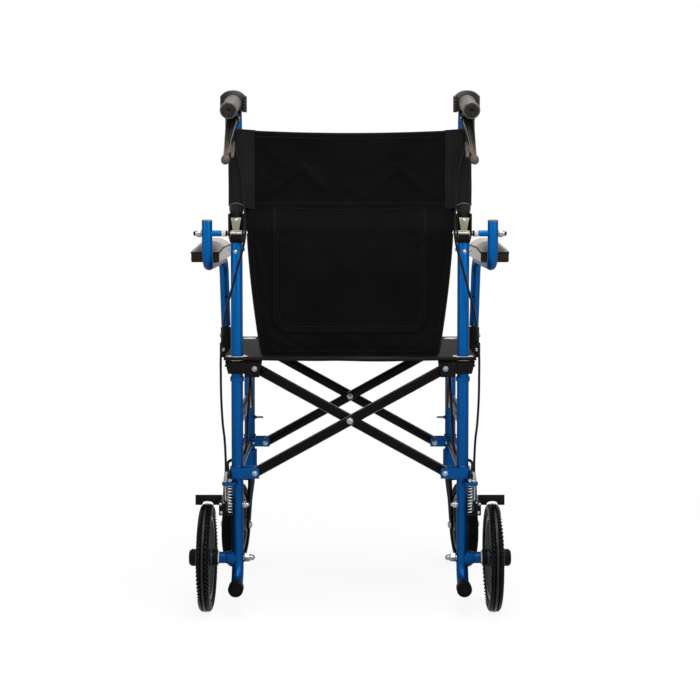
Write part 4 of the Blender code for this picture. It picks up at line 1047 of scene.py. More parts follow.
def frontPostParts():
    x, y = frontPost["casterX"], frontPost["casterY"]
    # gusset between the post and the caster's barrel
    gusset = [
        (postX + 0.002, frontY + 0.01), (postX + 0.01, frontY - 0.004), (x + 0.006, y - 0.012),
        (x - 0.008, y + 0.006),
    ]
    arm = [(armX[0], armY[0]), (armX[1], armY[0]), (armX[1], armY[1]), (armX[0], armY[1])]
    ends = [(postX, frontY, frontPost[end]) for end in ("topZ", "bottomZ")]
    sleeve = [(0, 0.0128), (0.0012, 0.015), (0.0383, 0.015), (0.0393, 0.0142), (0.0396, 0.011)]
    return [
        ("tube", ends, post["radius"], post["sides"], post["softEnd"]),
        ("turned", (postX, frontY, 0.2067), "up", sleeve, 48),
        braceBracket(frontY, 0.167, 0.2535, 0.2715),
        (
            "turned", (postX, frontY, 0.2736), "up",
            [(0, 0.011), (0, 0.013), (0.0035, 0.013), (0.0035, 0.011)], 40,
        ),
        ("turned", (x, y, 0.1885), "up", [(0, 0.0135), (0.0015, 0.015), (0.05, 0.015), (0.0515, 0.0135)], 48),
        ("slab", gusset, 0.2075, 0.2335, "z", 0.0015),
        ("slab", arm, 0.433, 0.4393, "z", 0.0012),
    ]


def railParts(z, radius):
    gap = post["radius"] * 0.6
    return [("tube", [(postX, gap, z), (postX, frontY - gap, z)], radius, 36)]


frontFittings = {
    "front_post": ("blue", True, frontPostParts()),
    "hook_rod": ("blue", None, [
        ("tube", [(0.201, hookY, hookZ), (0.1812, hookY, hookZ)], 0.0019, 20, 0.0005),
        ("turned", (0.1988, hookY, hookZ), "in", [(0, 0.0042), (0.0022, 0.0034), (0.005, 0.0022)], 24),
    ]),
    "front_bracket_rivets": ("zinc", None, [
        ("dome", (0.2012, frontY - 0.0173, 0.262), "back", 0.0032, 0.0018),
        ("dome", (0.2076, frontY - 0.0105, 0.3374), "back", 0.0036, 0.0024),
        *boltThrough(0.233, *armY, 0.4361, 0.0022, 0.0016),
    ]),
    "upper_side_rail": ("blue", True, railParts(0.355, 0.01)),
    "lower_side_rail": ("blue", True, railParts(0.262, 0.008)),
    # rubber cap over the tipping tube, with a raised disc in its end
    "tipping_tube_cap": ("capRubber", True, [
        ("turned", (postX, post["tipEndY"] + 0.0185, post["tipZ"]), "back", [
            (0, 0.0112), (0, 0.0132), (0.0008, 0.0139), (0.0035, 0.014), (0.0042, 0.0134), (0.0055, 0.0134),
            (0.0062, 0.014), (0.0205, 0.014), (0.0219, 0.0136), (0.0225, 0.0126), (0.0225, 0.0112),
            (0.0217, 0.0106), (0.0217, 0.0102), (0.0224, 0.0097), (0.0226, 0),
        ], 48),
    ], 40),
}


hinge = {
    "cup": [
        (0, 0.0114), (0.0006, 0.0124), (0.002, 0.0128), (0.006, 0.0134), (0.01, 0.015), (0.0113, 0.015),
        (0.0117, 0.014), (0.0125, 0.0108),
    ],
    # cheek that carries the hinge bolt behind the post
    "cheek": [
        (hingeY - 0.0044, 0.6935), (0, 0.6905), (0, 0.701), (hingeY + 0.0044, 0.7052), (hingeY, 0.709),
        (hingeY - 0.004, 0.707),
    ],
    "sideScrew": [
        (0, 0.0019), (0.002, 0.0019), (0.002, 0.0032), (0.0032, 0.0032), (0.0042, 0.0026),
        (0.005, 0.0012), (0.0051, 0),
    ],
    "screwX": postX + 0.0012,
}
hingeFittings = {
    "hinge_cup": ("nylon", "back_hinge", [
        ("turned", (postX, 0, 0.6878), "up", hinge["cup"], 48),
        ("slab", hinge["cheek"], postX - 0.01, postX + 0.01, "x", 0.001),
    ]),
    "hinge_bolt": ("hingeZinc", None, [
        (
            "turned", onHinge(0.1992), "out",
            [(0, 0.0038), (0, 0.0043), (0.0206, 0.0043), (0.0206, 0.0038)], 32,
        ),
        ("turned", onHinge(0.193), "out", [(0, 0.003), (0.087, 0.003)], 24),
        ("dome", onHinge(0.195), "in", 0.0055, 0.0028),
        ("turned", onHinge(0.195), "in", [(0, 0.006), (0.0009, 0.006)], 28),
    ]),
    "armrest_spacer": ("whiteNylon", None, [
        (
            "turned", onHinge(0.2286), "out",
            [(0, 0.0056), (0.0005, 0.0061), (0.0064, 0.0061), (0.0069, 0.0056)], 32,
        ),
    ]),
    "armrest_washer": ("nylon", None, [
        (
            "turned", onHinge(0.2252), "out",
            [(0, 0.005), (0.0004, 0.0054), (0.003, 0.0054), (0.0034, 0.005)], 32,
        ),
    ]),
    "hinge_nut": ("zinc", None, [
        (
            "turned", onHinge(0.273), "out",
            [(0, 0.006), (0.0004, 0.0068), (0.0014, 0.0068), (0.0018, 0.006)], 32,
        ),
        ("nut", onHinge(0.2744), "out", 0.0122, 0.006, 0.0008),
        ("turned", onHinge(0.2802), "out", [(0, 0.006), (0.003, 0.005), (0.0034, 0.0044)], 32),
        ("turned", onHinge(0.274), "out", [(0, 0.005), (0.01, 0.005)], 28),
    ]),
    "hinge_nut_cap": ("nylon", None, [("dome", onHinge(0.2834), "out", 0.0046, 0.0051, 6)]),
    "hinge_screws": ("zinc", None, [
        ("dome", (hinge["screwX"], -0.0112, 0.6715), "back", 0.0032, 0.002),
        (
            "turned", (hinge["screwX"], -0.0102, 0.6715), "back",
            [(0, 0.0038), (0.001, 0.0038), (0.0012, 0.0034)], 28,
        ),
        ("turned", (postX - 0.0104, 0, 0.6755), "in", hinge["sideScrew"], 24),
        ("turned", (postX + 0.0104, 0, 0.6755), "out", hinge["sideScrew"], 24),
    ]),
}


for side in sides:
    makeRearPost(side)
    for fittings in (postFittings, frontFittings, hingeFittings):
        addFittings(side, "side_frame", fittings)
print("side frames made")


# cross braces


brace = {
    "pivotX": 0.1762, "lowZ": 0.2613, "highZ": 0.4557, "height": 0.019, "depth": 0.0123,
    "gap": 0.0003,  # between the two arms
    "rounding": 0.0042, "pinReach": 0.0173,
}
braceRows = {"rear": 0.0, "front": frontY}


def braceArm(name, slope, y, layer, body):
    # flat tube with rounded ends; slope 1 rises towards the right, layer -1 lies behind the other arm
    half = brace["height"] / 2
    start = Vector((-brace["pivotX"], brace["lowZ"] if slope > 0 else brace["highZ"]))
    end = Vector((brace["pivotX"], brace["highZ"] if slope > 0 else brace["lowZ"]))
    along = (end - start).normalized()
    upright = Vector((-along.y, along.x))
    outline = []
    for centre, first in ((end, -90), (start, 90)):
        for step in range(13):
            angle = math.radians(first + 15 * step)
            spot = centre + half * (math.cos(angle) * along + math.sin(angle) * upright)
            outline.append((spot.x, spot.y))
    near, far = sorted((y + layer * brace["gap"], y + layer * (brace["gap"] + brace["depth"])))
    add(slab(1, outline, near, far, "y", brace["rounding"]), name, "enamel", body, name)


def makeBraces():
    z = (brace["lowZ"] + brace["highZ"]) / 2
    for place, y in braceRows.items():
        braceArm(f"{place}_brace_arm_a", 1, y, -1, "brace_arms_a")
        braceArm(f"{place}_brace_arm_b", -1, y, 1, "brace_arms_b")
        bolt = shaped(
            1,
            ("turned", (0, y - 0.0129, z), "back", [(0, 0.006), (0.001, 0.006), (0.0013, 0.0056)], 40),
            ("dome", (0, y - 0.0141, z), "back", 0.0047, 0.0026, 6, 32),
            ("nut", (0, y + 0.0129, z), "front", 0.013, 0.005),
        )
        add(bolt, f"{place}_centre_bolt", "zinc", "brace_arms_b")


def makeBracePins(side):
    # lower pins stay with the side frame, upper ones with the seat's slides
    reach = brace["pinReach"]
    for place, y in braceRows.items():
        for level, body, look in (("low", "side_frame", "zinc"), ("high", "seat_slide", "dullZinc")):
            parts = boltThrough(brace["pivotX"], y - reach, y + reach, brace[f"{level}Z"], 0.0037, 0.0024)
            addSide(side, shaped(side, *parts), f"{place}_{level}_pin", look, body)


# seat slides: housings on the posts, rails between them


slide = {
    "half": 0.0173, "lug": 0.0043,
    "block": [(0.19, 0.4462), (0.19, 0.4702), (0.2312, 0.4702), (0.23, 0.466), (0.2252, 0.4462)],
    "lugShape": [(0.1945, 0.44), (0.1945, 0.4698), (0.1636, 0.4698), (0.1672, 0.44)],
    "step": [(0.1975, 0.448), (0.2245, 0.448), (0.2272, 0.459), (0.1975, 0.459)],
    "railZ": 0.457, "railGap": 0.016,
}


def housing(y):
    # moulded block round the post, its outer side slanting in, with two deeper lugs inboard for the brace arm
    half, lug = slide["half"], slide["lug"]
    parts = [("slab", slide["block"], y - half, y + half, "y", 0.0016)]
    for face in (-1, 1):
        a, b = sorted((y + face * (half + 0.0003), y + face * (half - lug)))
        parts.append(("slab", slide["lugShape"], a, b, "y", 0.0011))
    return parts


# the rear housing has a step moulded across its rear face
slideFittings = {
    "rear_seat_slider": ("nylon", True, [*housing(0), ("slab", slide["step"], -0.018, -0.0165, "y", 0.0005)]),
    "slider_collar": ("whiteNylon", None, [("turned", (postX, 0, 0.4708), "up", [
        (0, 0.0185), (0.0004, 0.0194), (0.0012, 0.02), (0.0058, 0.0203), (0.0066, 0.02), (0.0071, 0.019),
        (0.0071, 0.012), (0.0055, 0.0113), (0, 0.0113),
    ], 48)]),
    "front_seat_block": ("nylon", True, housing(frontY)),
    "front_plug": ("whiteNylon", None, [("turned", (postX, frontY, 0.46), "up", [
        (0, 0.014), (0.017, 0.014), (0.0184, 0.0134), (0.019, 0.012), (0.019, 0),
    ], 40)]),
    "seat_rail": ("enamel", True, [
        (
            "tube", [(postX, y, slide["railZ"]) for y in (slide["railGap"], frontY - slide["railGap"])],
            0.011, 40,
        ),
    ]),
}


# upper back tubes with grips, clamps and levers


cane = {
    "bend": 0.042, "bendZ": 0.903, "droopDegrees": 10.5, "endY": -0.165, "lowZ": 0.7108,
    "plateZ": (0.712, 0.742),  # the two side plates that reach down to the hinge bolt
    "plateRound": 0.0055, "plateThickness": 0.004,
    "plateInner": (-0.0147, 0.0107),  # each plate's inner face, from the post's middle
    "socket": [
        (0, 0.0111), (0, 0.0126), (0.0008, 0.0128), (0.0299, 0.0128), (0.0313, 0.0121), (0.0459, 0.0121),
        (0.0464, 0.0111),
    ],
    "collar": [(0, 0.0112), (0, 0.0118), (0.003, 0.013), (0.007, 0.0135), (0.019, 0.0135), (0.0195, 0.0112)],
}


def caneWay():
    # direction of the drooping end, and the bend's last point, as (y, z)
    droop = math.radians(cane["droopDegrees"])
    turn = math.pi / 2 + droop
    end = (-cane["bend"] + cane["bend"] * math.cos(turn), cane["bendZ"] + cane["bend"] * math.sin(turn))
    return (-math.cos(droop), -math.sin(droop)), end


def onGrip(side, y):
    (wayY, wayZ), (endY, endZ) = caneWay()
    return at(side, postX, y, endZ + (y - endY) / wayY * wayZ)


def makeCane(side):
    bend, steps = cane["bend"], 16
    turn = math.pi / 2 + math.radians(cane["droopDegrees"])
    points = [at(side, postX, 0, cane["lowZ"])]
    for step in range(steps + 1):
        a = turn * step / steps
        points.append(at(side, postX, -bend + bend * math.cos(a), cane["bendZ"] + bend * math.sin(a)))
    points.append(onGrip(side, cane["endY"]))
    whole = tube(points, post["radius"], post["sides"], post["softEnd"])
    addSide(side, whole, "back_cane", "blue", "back", True)
    (low, high), r = cane["plateZ"], cane["plateRound"]
    outline = [(-0.0125, high), (-0.0125, low)]
    for step in range(7):
        a = math.radians(180 + 20 * step)
        outline.append((hingeY + r * math.cos(a), hingeZ + r * math.sin(a)))
    outline += [(0.009, low), (0.009, high)]
    plates = []
    for offset in cane["plateInner"]:
        inner = postX + offset
        plates.append(("slab", outline, inner, inner + cane["plateThickness"], "x", 0.0007))
    plates.append(("turned", (postX, 0, 0.7106), "up", cane["socket"], 48))
    addSide(side, shaped(side, *plates), "hinge_plates", "nylon", "back")
    # plastic collar that the sleeve comes down to
    collar = shaped(side, ("turned", (postX, 0, 0.7435), "up", cane["collar"], 48))
    addSide(side, collar, "cane_collar", "clampNylon", "back")


latch = {
    "highHalf": 0.0095, "lowHalf": 0.0058, "lowZ": 0.7112, "highZ": 0.7345, "screwZ": 0.729,
    "rearY": -0.0145,
}


def latchFittings():
    high, low, lowZ, highZ, screwZ, y = latch.values()
    outline = [(postX - high, highZ), (postX - low, lowZ), (postX + low, lowZ), (postX + high, highZ)]
    return {
        "back_latch": ("passivated", True, [("slab", outline, y, y + 0.0023, "y", 0.0006)]),
        "latch_screw": ("zinc", None, [
            ("turned", (postX, y, screwZ), "back", [(0, 0.0042), (0.0007, 0.0042), (0.0009, 0.0038)], 28),
            ("dome", (postX, y - 0.0008, screwZ), "back", 0.0034, 0.0018),
        ]),
    }


grip = {
    "startY": -0.0762,
    "lip": [
        (0, 0.0118), (0, 0.0144), (0.0008, 0.0151), (0.004, 0.0155), (0.0062, 0.0152), (0.009, 0.0143),
        (0.011, 0.014),
    ],
    "rings": 18, "firstRing": 0.0135, "ringPitch": 0.004,
    "ring": [(0, 0.0138), (0.001, 0.0141), (0.0026, 0.0141), (0.0036, 0.0138)],
    "rearLip": [
        (0.088, 0.0141), (0.09, 0.015), (0.092, 0.0155), (0.0945, 0.0156), (0.0966, 0.0149),
        (0.0981, 0.0136), (0.0985, 0.0126), (0.07, 0.012), (0.07, 0),
    ],
    "end": [
        (0.096, 0.0125), (0.0984, 0.0124), (0.099, 0.0118), (0.0988, 0.0036), (0.0984, 0.003),
        (0.0974, 0.0027), (0.082, 0.0025), (0.082, 0),
    ],
}


def makeGrip(side):
    # soft sleeve with a lip at each end and fine rings where it is held
    (wayY, wayZ), _ = caneWay()
    start = onGrip(side, grip["startY"])
    profile = list(grip["lip"])
    for ring in range(grip["rings"]):
        first = grip["firstRing"] + ring * grip["ringPitch"]
        profile += [(first + along, radius) for along, radius in grip["ring"]]
    profile += grip["rearLip"]
    addSide(side, turned(profile, start, (0, wayY, wayZ), 48), "handgrip", "grip", "back", True, 50)
    addSide(side, turned(grip["end"], start, (0, wayY, wayZ), 48), "grip_end", "gripEnd", "back", None, 50)


clamp = {
    # half of the arch's outline, outwards from the post's middle
    "arch": [
        (0.0232, 0.9262), (0.0232, 0.952), (0.0222, 0.9532), (0.0205, 0.9546), (0.018, 0.9572),
        (0.0145, 0.9598), (0.0105, 0.9616), (0.0055, 0.9628),
    ],
    "crownZ": 0.9632, "y": (-0.0715, -0.052),
    "ribs": 5, "ribZ": 0.9258, "ribPitch": 0.0056, "ribHeight": 0.003,
    "ears": ((0.1998, 0.908), (0.2222, 0.892)),  # inner face and lowest point of each
    "earThickness": 0.0021,
    "stop": [
        (0.1955, -0.06, 0.932), (0.2015, -0.048, 0.913), (0.2062, -0.0385, 0.9), (0.2073, -0.035, 0.893),
    ],
    "adjuster": ((0.2074, -0.0348, 0.895), (0.2092, -0.0285, 0.871)),  # from, towards
    "grooves": 6, "groovePitch": 0.003, "barrelShare": 0.82, "arrisRadius": 0.0009,
}
leverPin = {
    "lever_pin": ("zinc", None, [
        ("turned", (0.2, -0.057, 0.915), "out", [(0, 0.002), (0.024, 0.002)], 20),
        ("dome", (0.2242, -0.057, 0.915), "out", 0.0034, 0.0014),
        ("dome", (0.1999, -0.057, 0.915), "in", 0.0034, 0.0014),
    ]),
}


def makeClamp(side):
    # moulded arch over the cane, with ears for the lever and the cable adjuster at its inner side
    half = clamp["arch"]
    outline = [(postX + u, z) for u, z in half] + [(postX, clamp["crownZ"])]
    outline += [(postX - u, z) for u, z in reversed(half)]
    parts = [
        ("slab", outline, *clamp["y"], "y", 0.0012),
        # cable block at the inner side, ribbed where the adjuster is held
        ("box", (0.1856, -0.0728, 0.9246), (0.193, -0.053, 0.9535), 0.0008),
    ]
    for rib in range(clamp["ribs"]):
        low = clamp["ribZ"] + rib * clamp["ribPitch"]
        parts.append(("box", (0.185, -0.0737, low), (0.1932, -0.0715, low + clamp["ribHeight"]), 0.0004))
    for inner, low in clamp["ears"]:
        ear = [
            (-0.064, 0.93), (-0.064, low + 0.005), (-0.0612, low), (-0.0552, low), (-0.0515, low + 0.004),
            (-0.0515, 0.93),
        ]
        parts.append(("slab", ear, inner, inner + clamp["earThickness"], "x", 0.0006))
    stop = tube(smoothPath([at(side, *spot) for spot in clamp["stop"]], 5), 0.0027, 20)
    addSide(side, gathered(shaped(side, *parts), stop), "brake_clamp", "clampNylon", "back", True)
    barrel = [(0, 0.003), (0.001, 0.0038)]
    for groove in range(clamp["grooves"]):
        along = 0.002 + groove * clamp["groovePitch"]
        barrel += [
            (along, 0.0041), (along + 0.0018, 0.0041), (along + 0.0022, 0.0036), (along + 0.0026, 0.0036),
        ]
    barrel += [(0.021, 0.004), (0.024, 0.0034), (0.0245, 0.0026)]
    barrel = [(along, reach * clamp["barrelShare"]) for along, reach in barrel]
    above, below = (at(side, *spot) for spot in clamp["adjuster"])
    addSide(side, turned(barrel, above, below - above, 24), "barrel_adjuster", "nylon", "back")
    # arris of the arch: a pale line that is a painted highlight
    y = clamp["y"][0] + 0.0003
    arris = [at(side, postX + u, y, z - 0.0006) for u, z in half[1:]]
    arris.append(at(side, postX, y, clamp["crownZ"] - 0.0006))
    arris += [at(side, postX - u, y, z - 0.0006) for u, z in reversed(half[1:])]
    addSide(side, pathTube(arris, clamp["arrisRadius"], "rimNylon", 8), "clamp_arris", "rimNylon", "back")
    addFittings(side, "back", leverPin)


lever = {
    # outward, y, z, half width, half thickness, depth of the hollow
    "stations": [
        (0.212, -0.0525, 0.9185, 0.0094, 0.003, 0.0), (0.212, -0.056, 0.9155, 0.0098, 0.005, 0.3),
        (0.2123, -0.064, 0.9075, 0.0098, 0.0052, 1.0), (0.2131, -0.074, 0.9, 0.0094, 0.0048, 1.0),
        (0.214, -0.085, 0.8908, 0.0082, 0.0046, 1.0), (0.215, -0.098, 0.8788, 0.007, 0.0044, 1.0),
        (0.216, -0.111, 0.866, 0.0058, 0.0043, 0.9), (0.2168, -0.122, 0.8542, 0.005, 0.0042, 0.7),
        (0.2173, -0.129, 0.8465, 0.0048, 0.0044, 0.4), (0.2176, -0.132, 0.8432, 0.0058, 0.0056, 0.1),
        (0.2179, -0.1345, 0.8406, 0.0074, 0.0071, 0.0), (0.218, -0.1375, 0.8376, 0.0079, 0.0079, 0.0),
        (0.2181, -0.1403, 0.8348, 0.0074, 0.0073, 0.0), (0.2182, -0.1424, 0.8327, 0.0054, 0.0054, 0.0),
        (0.2183, -0.1436, 0.8315, 0.0024, 0.0024, 0.0),
    ],
    "sides": 40,
    # lock tab that holds the lever in when the chair is parked, and the web that joins it
    "tab": [
        (-0.106, 0.868), (-0.1085, 0.871), (-0.12, 0.861), (-0.1348, 0.8462), (-0.1362, 0.8436),
        (-0.135, 0.8412), (-0.133, 0.841),
    ],
    "tabX": (0.2032, 0.2094),
    "web": [(-0.115, 0.866), (-0.129, 0.8525), (-0.13, 0.85), (-0.116, 0.863)],
    "webX": (0.208, 0.214),
    "rimStations": slice(2, 9),
    "rimRadius": 0.0007,
}


def makeLever(side):
    # one moulding, hollowed behind between two rims: wide at the pivot, leaning out and narrowing to a ball
    outward = Vector((1, 0, 0))
    centres = [at(side, x, y, z) for x, y, z, _, _, _ in lever["stations"]]
    spots = []
    stations = zip(centres, framesAlong(centres), lever["stations"])
    for centre, (tangent, _, _), (_, _, _, wide, thick, hollow) in stations:
        spots.append((centre, outward.cross(tangent).normalized(), wide, thick, hollow))
    rings = []
    for centre, under, wide, thick, hollow in spots:
        ring = []
        for t in ringAngles(lever["sides"]):
            # boxy where it is hollow, round at the ball
            power = 1 - 0.45 * min(hollow * 1.5, 1.0)
            u, v = signedPower(math.cos(t), power), signedPower(math.sin(t), power)
            sunk = 0.75 * hollow * max(0.0, 1 - (u / 0.74) ** 4) if v < 0 else 0.0
            ring.append(centre + outward * wide * u + under * thick * v * (1 - sunk))
        rings.append(ring)
    tab = ("slab", lever["tab"], *lever["tabX"], "x", 0.0016)
    web = ("slab", lever["web"], *lever["webX"], "x", 0.0006)
    whole = gathered(loftRings(rings), shaped(side, tab, web))
    addSide(side, whole, "brake_lever", "leverNylon", "brake_lever", True, 50)
    # pale tubes along the hollow's two rims: painted highlights
    edges = []
    for way in (-1, 1):
        line = []
        for centre, under, wide, thick, _ in spots[lever["rimStations"]]:
            line.append(centre + Vector((way * (wide - 0.0006), 0, 0)) - under * (thick - 0.0004))
        edges.append(pathTube(smoothPath(line, 3), lever["rimRadius"], "rimNylon", 8))
    addSide(side, gathered(*edges), "lever_rims", "rimNylon", "brake_lever")


for side in sides:
    makeBracePins(side)
    addFittings(side, "seat_slide", slideFittings)
    makeCane(side)
    addFittings(side, "back_latch", latchFittings())
    makeGrip(side)
    makeClamp(side)
    makeLever(side)
makeBraces()
print("braces, slides and canes made")


# armrests


armrest = {
    "x": 0.2628, "radius": 0.0097, "topZ": 0.729, "lowZ": 0.6455, "bend": 0.036,
    "frontX": 0.262, "frontY": frontY - 0.004,
    "kneeX": 0.2578, "kneeZ": 0.5045, "legX": 0.2575, "legZ": 0.4435,
}


def makeArmrestTube(side):
    x, y = armrest["x"], armrest["frontY"]
    corners = [
        (x, hingeY, armrest["topZ"]), (x, hingeY, armrest["lowZ"]), (armrest["frontX"], y, armrest["lowZ"]),
    ]
    corners.append((armrest["kneeX"], y, armrest["kneeZ"]))
    path = filletPath([at(side, *corner) for corner in corners], armrest["bend"], 12)
    sleeve = shaped(
        side,
        ("turned", onHinge(0.2364), "out", [(0, 0.0046), (0.0006, 0.0056), (0.0276, 0.0056)], 36),
        ("turned", onHinge(0.2552), "in", [(0, 0.0072), (0.0016, 0.006)], 36),
    )
    whole = gathered(tube(path, armrest["radius"], 40, post["softEnd"]), sleeve)
    addSide(side, whole, "armrest_tube", "blue", "armrest", True)
    profile = [(0, 0.0092), (0.0004, 0.0099), (0.002, 0.0099), (0.003, 0.009), (0.0036, 0.006), (0.0038, 0.0)]
    plug = shaped(side, ("turned", (x, hingeY, armrest["topZ"] - 0.0016), "up", profile, 40))
    addSide(side, plug, "armrest_plug", "rimNylon", "armrest")
    ring = [(0, 0.0096), (0.0006, 0.0099), (0.0022, 0.0099), (0.0028, 0.0096)]
    foot = shaped(
        side,
        (
            "turned", (armrest["legX"], y, armrest["legZ"]), "up",
            [(0, 0.005), (0.001, 0.006), (0.072, 0.006)], 32,
        ),
        ("turned", (armrest["kneeX"] + 0.0003, y, armrest["kneeZ"] + 0.06), "up", ring, 36),
    )
    addSide(side, foot, "armrest_leg_end", "nylon", "armrest")


pad = {
    "x": 0.2715, "half": 0.0265, "lowZ": 0.65, "weltZ": 0.668, "weltClimb": 0.0085, "weltRadius": 0.0014,
    # y, top height, share of the width: upright rear face, crown rising in a ramp and then level
    "stations": [
        (0.036, 0.6672, 0.94), (0.0364, 0.6684, 0.97), (0.0374, 0.6692, 0.99), (0.04, 0.6706, 1.0),
        (0.048, 0.6742, 1.0), (0.058, 0.6784, 1.0), (0.07, 0.6822, 1.0), (0.085, 0.6852, 1.0),
        (0.105, 0.6878, 1.0), (0.13, 0.6894, 1.0), (0.18, 0.6904, 1.0), (0.23, 0.6902, 1.0),
        (0.275, 0.6892, 1.0), (0.3, 0.6872, 1.0), (0.313, 0.6838, 0.985), (0.32, 0.6795, 0.95),
        (0.3235, 0.6745, 0.88), (0.3242, 0.67, 0.8),
    ],
    # y and share of the width along the welt
    "welt": [
        (0.0366, 0.975), (0.04, 1.0), (0.06, 1.0), (0.09, 1.0), (0.125, 1.0), (0.16, 1.0), (0.2, 1.0),
        (0.24, 1.0), (0.28, 1.0), (0.305, 1.0), (0.314, 0.975), (0.32, 0.945), (0.3238, 0.87),
    ],
    "crown": (0.955, 0.89, 0.78, 0.62, 0.42, 0.2, 0.0),  # shares of the half width
}


def padEdge(y):
    # height of the welt: it climbs a little towards the front
    return pad["weltZ"] + pad["weltClimb"] * clipped((y - 0.04) / 0.12)


def padRing(side, y, top, share):
    half = pad["half"] * share
    low = pad["lowZ"] + (1 - share) * 0.03
    brim = min(padEdge(y), top - 0.0004)
    ring = [(half * px, low) for px in (0.0, 0.5, 0.9)]
    ring += [(half * 0.975, low + 0.0008), (half * 1.0, low + 0.003), (half * 1.0, (low + brim) / 2)]
    ring += [(half * 1.0, brim - 0.0012), (half * 0.992, brim)]
    ring += [(half * px, brim + (top - brim) * (1 - px**2.6)) for px in pad["crown"]]
    ring += [(-px, z) for px, z in reversed(ring[1:-1])]
    return [at(side, pad["x"] + px, y, z) for px, z in ring]


def makePad(side):
    # moulded foam with its own skin: firm, so its form is drawn and not blown out; a welt at its brim
    rings = [padRing(side, *station) for station in pad["stations"]]
    piece = addSide(side, loftRings(rings), "armrest_pad", "padSkin", "armrest", True, 50)
    edge = [(y, min(padEdge(y), 0.6745), pad["half"] * share - 0.0002) for y, share in pad["welt"]]
    loop = [at(side, pad["x"] + half, y, z) for y, z, half in edge]
    loop += [at(side, pad["x"] - half, y, z) for y, z, half in reversed(edge)]
    loop.append(loop[0])
    addSide(side, pathTube(loop, pad["weltRadius"], "capRubber", 10), "armrest_welt", "capRubber", "armrest")


socket = {
    # clip open to the front: x, and y from the armrest's leg
    "clip": [
        (0.268, -0.011), (0.268, 0.0085), (0.264, 0.0085), (0.264, 0), (0.261, -0.005),
        (0.2575, -0.0065), (0.254, -0.005), (0.251, 0), (0.251, 0.0085), (0.2475, 0.0085),
        (0.2475, -0.011),
    ],
    "latch": [(0.267, 0.448), (0.2708, 0.45), (0.2708, 0.469), (0.267, 0.471)],
    "rib": [(0.2485, 0.47), (0.267, 0.47), (0.267, 0.474), (0.2485, 0.474)],
    "y": armrest["frontY"],
}
# the clip has a latch tab outside and a release knob
socketFittings = {
    "armrest_socket": ("nylon", True, [
        ("slab", [(a, socket["y"] + b) for a, b in socket["clip"]], 0.4397, 0.503, "z", 0.001),
        ("slab", socket["latch"], socket["y"] - 0.006, socket["y"] + 0.006, "y", 0.0006),
        ("slab", socket["rib"], socket["y"] - 0.0122, socket["y"] - 0.01, "y", 0.0005),
    ]),
    "socket_screws": ("zinc", None, [
        ("dome", (0.2625, socket["y"] - 0.011, 0.456), "back", 0.0036, 0.0018),
        ("dome", (0.268, socket["y"] - 0.004, 0.485), "out", 0.0045, 0.003),
    ]),
}


# wheels


wheel = {
    "x": 0.2672, "radius": 0.1, "tyreHalf": 0.0116, "rimRadius": 0.0787, "rimInner": 0.07, "rimHalf": 0.008,
    "hub": (0.016, -0.0205, 0.015),  # radius, inner end, outer end
    "bars": 72, "treadHigh": 0.002,
    "barRows": ((20, 46), (52, 80)),  # degrees from the crown's middle over the shoulder
    "caps": (
        [(-0.0205, 0.0063), (-0.0205, 0.0148), (-0.0195, 0.0158), (-0.006, 0.016)],
        [(0.006, 0.016), (0.025, 0.0158), (0.029, 0.015), (0.0318, 0.0134), (0.0328, 0.0112), (0.033, 0)],
        [(0.0268, 0.016), (0.0274, 0.0164), (0.0282, 0.016)],
    ),
}
caster = {
    "trail": 0.036, "yawDegrees": 9, "forkInner": 0.0238, "forkOuter": 0.0285,
    "radius": 0.088, "tyreHalf": 0.013, "rimRadius": 0.0657, "rimInner": 0.057, "rimHalf": 0.01,
    "hub": (0.013, -0.0205, 0.0205),
    "hubSleeve": [
        (-0.0213, 0.0062), (-0.0213, 0.01), (-0.02, 0.0118), (-0.01, 0.013), (0.01, 0.013),
        (0.02, 0.0118), (0.0213, 0.01), (0.0213, 0.0062),
    ],
}
spokes = {"count": 5, "phaseDegrees": 7.2}  # the phase turns the first spoke off straight up


def tyreCrown(inner, radius, half, angle):
    # a point of the section, at this angle from the crown's middle: across and radius
    across = half * math.copysign(abs(math.sin(angle)) ** 0.8, angle)
    return across, inner + (radius - inner) * (0.12 + 0.88 * abs(math.cos(angle)) ** 0.42)


def tyreSection(radius, inner, half, steps=28):
    # (across, radius) pairs from one bead over the crown to the other
    bead = inner + (radius - inner) * 0.04
    crown = [tyreCrown(inner, radius, half, math.radians(-90 + 180 * i / steps)) for i in range(steps + 1)]
    return [(-half * 0.66, inner), (-half * 0.84, bead)] + crown + [(half * 0.84, bead), (half * 0.66, inner)]


def treadBar(radius, inner, half, sideways, pitch, height, ends, steps=8):
    # one raised bar of the herringbone, drawn at angle 0 about X: it turns back as it runs over the shoulder
    bm = bmesh.new()
    rows = []
    for i in range(steps + 1):
        share = i / steps
        a = math.radians(ends[0] + (ends[1] - ends[0]) * share)
        across, r = tyreCrown(inner, radius, half, a * sideways)
        outX, outR = math.sin(a) * sideways, math.cos(a)
        row = []
        for edge, lift in ((-0.5, -0.0006), (-0.34, height), (0.34, height), (0.5, -0.0006)):
            turn = (share * pitch * 0.9 + edge * pitch * 0.42) / radius
            reach = r + lift * outR
            row.append(bm.verts.new((across + lift * outX, reach * math.sin(turn), reach * math.cos(turn))))
        rows.append(row)
    for a, b in zip(rows, rows[1:]):
        for i in range(3):
            bm.faces.new((a[i], a[i + 1], b[i + 1], b[i]))
        bm.faces.new((a[3], a[0], b[0], b[3]))
    bm.faces.new(rows[0])
    bm.faces.new(list(reversed(rows[-1])))
    bmesh.ops.recalc_face_normals(bm, faces=bm.faces)
    return bm


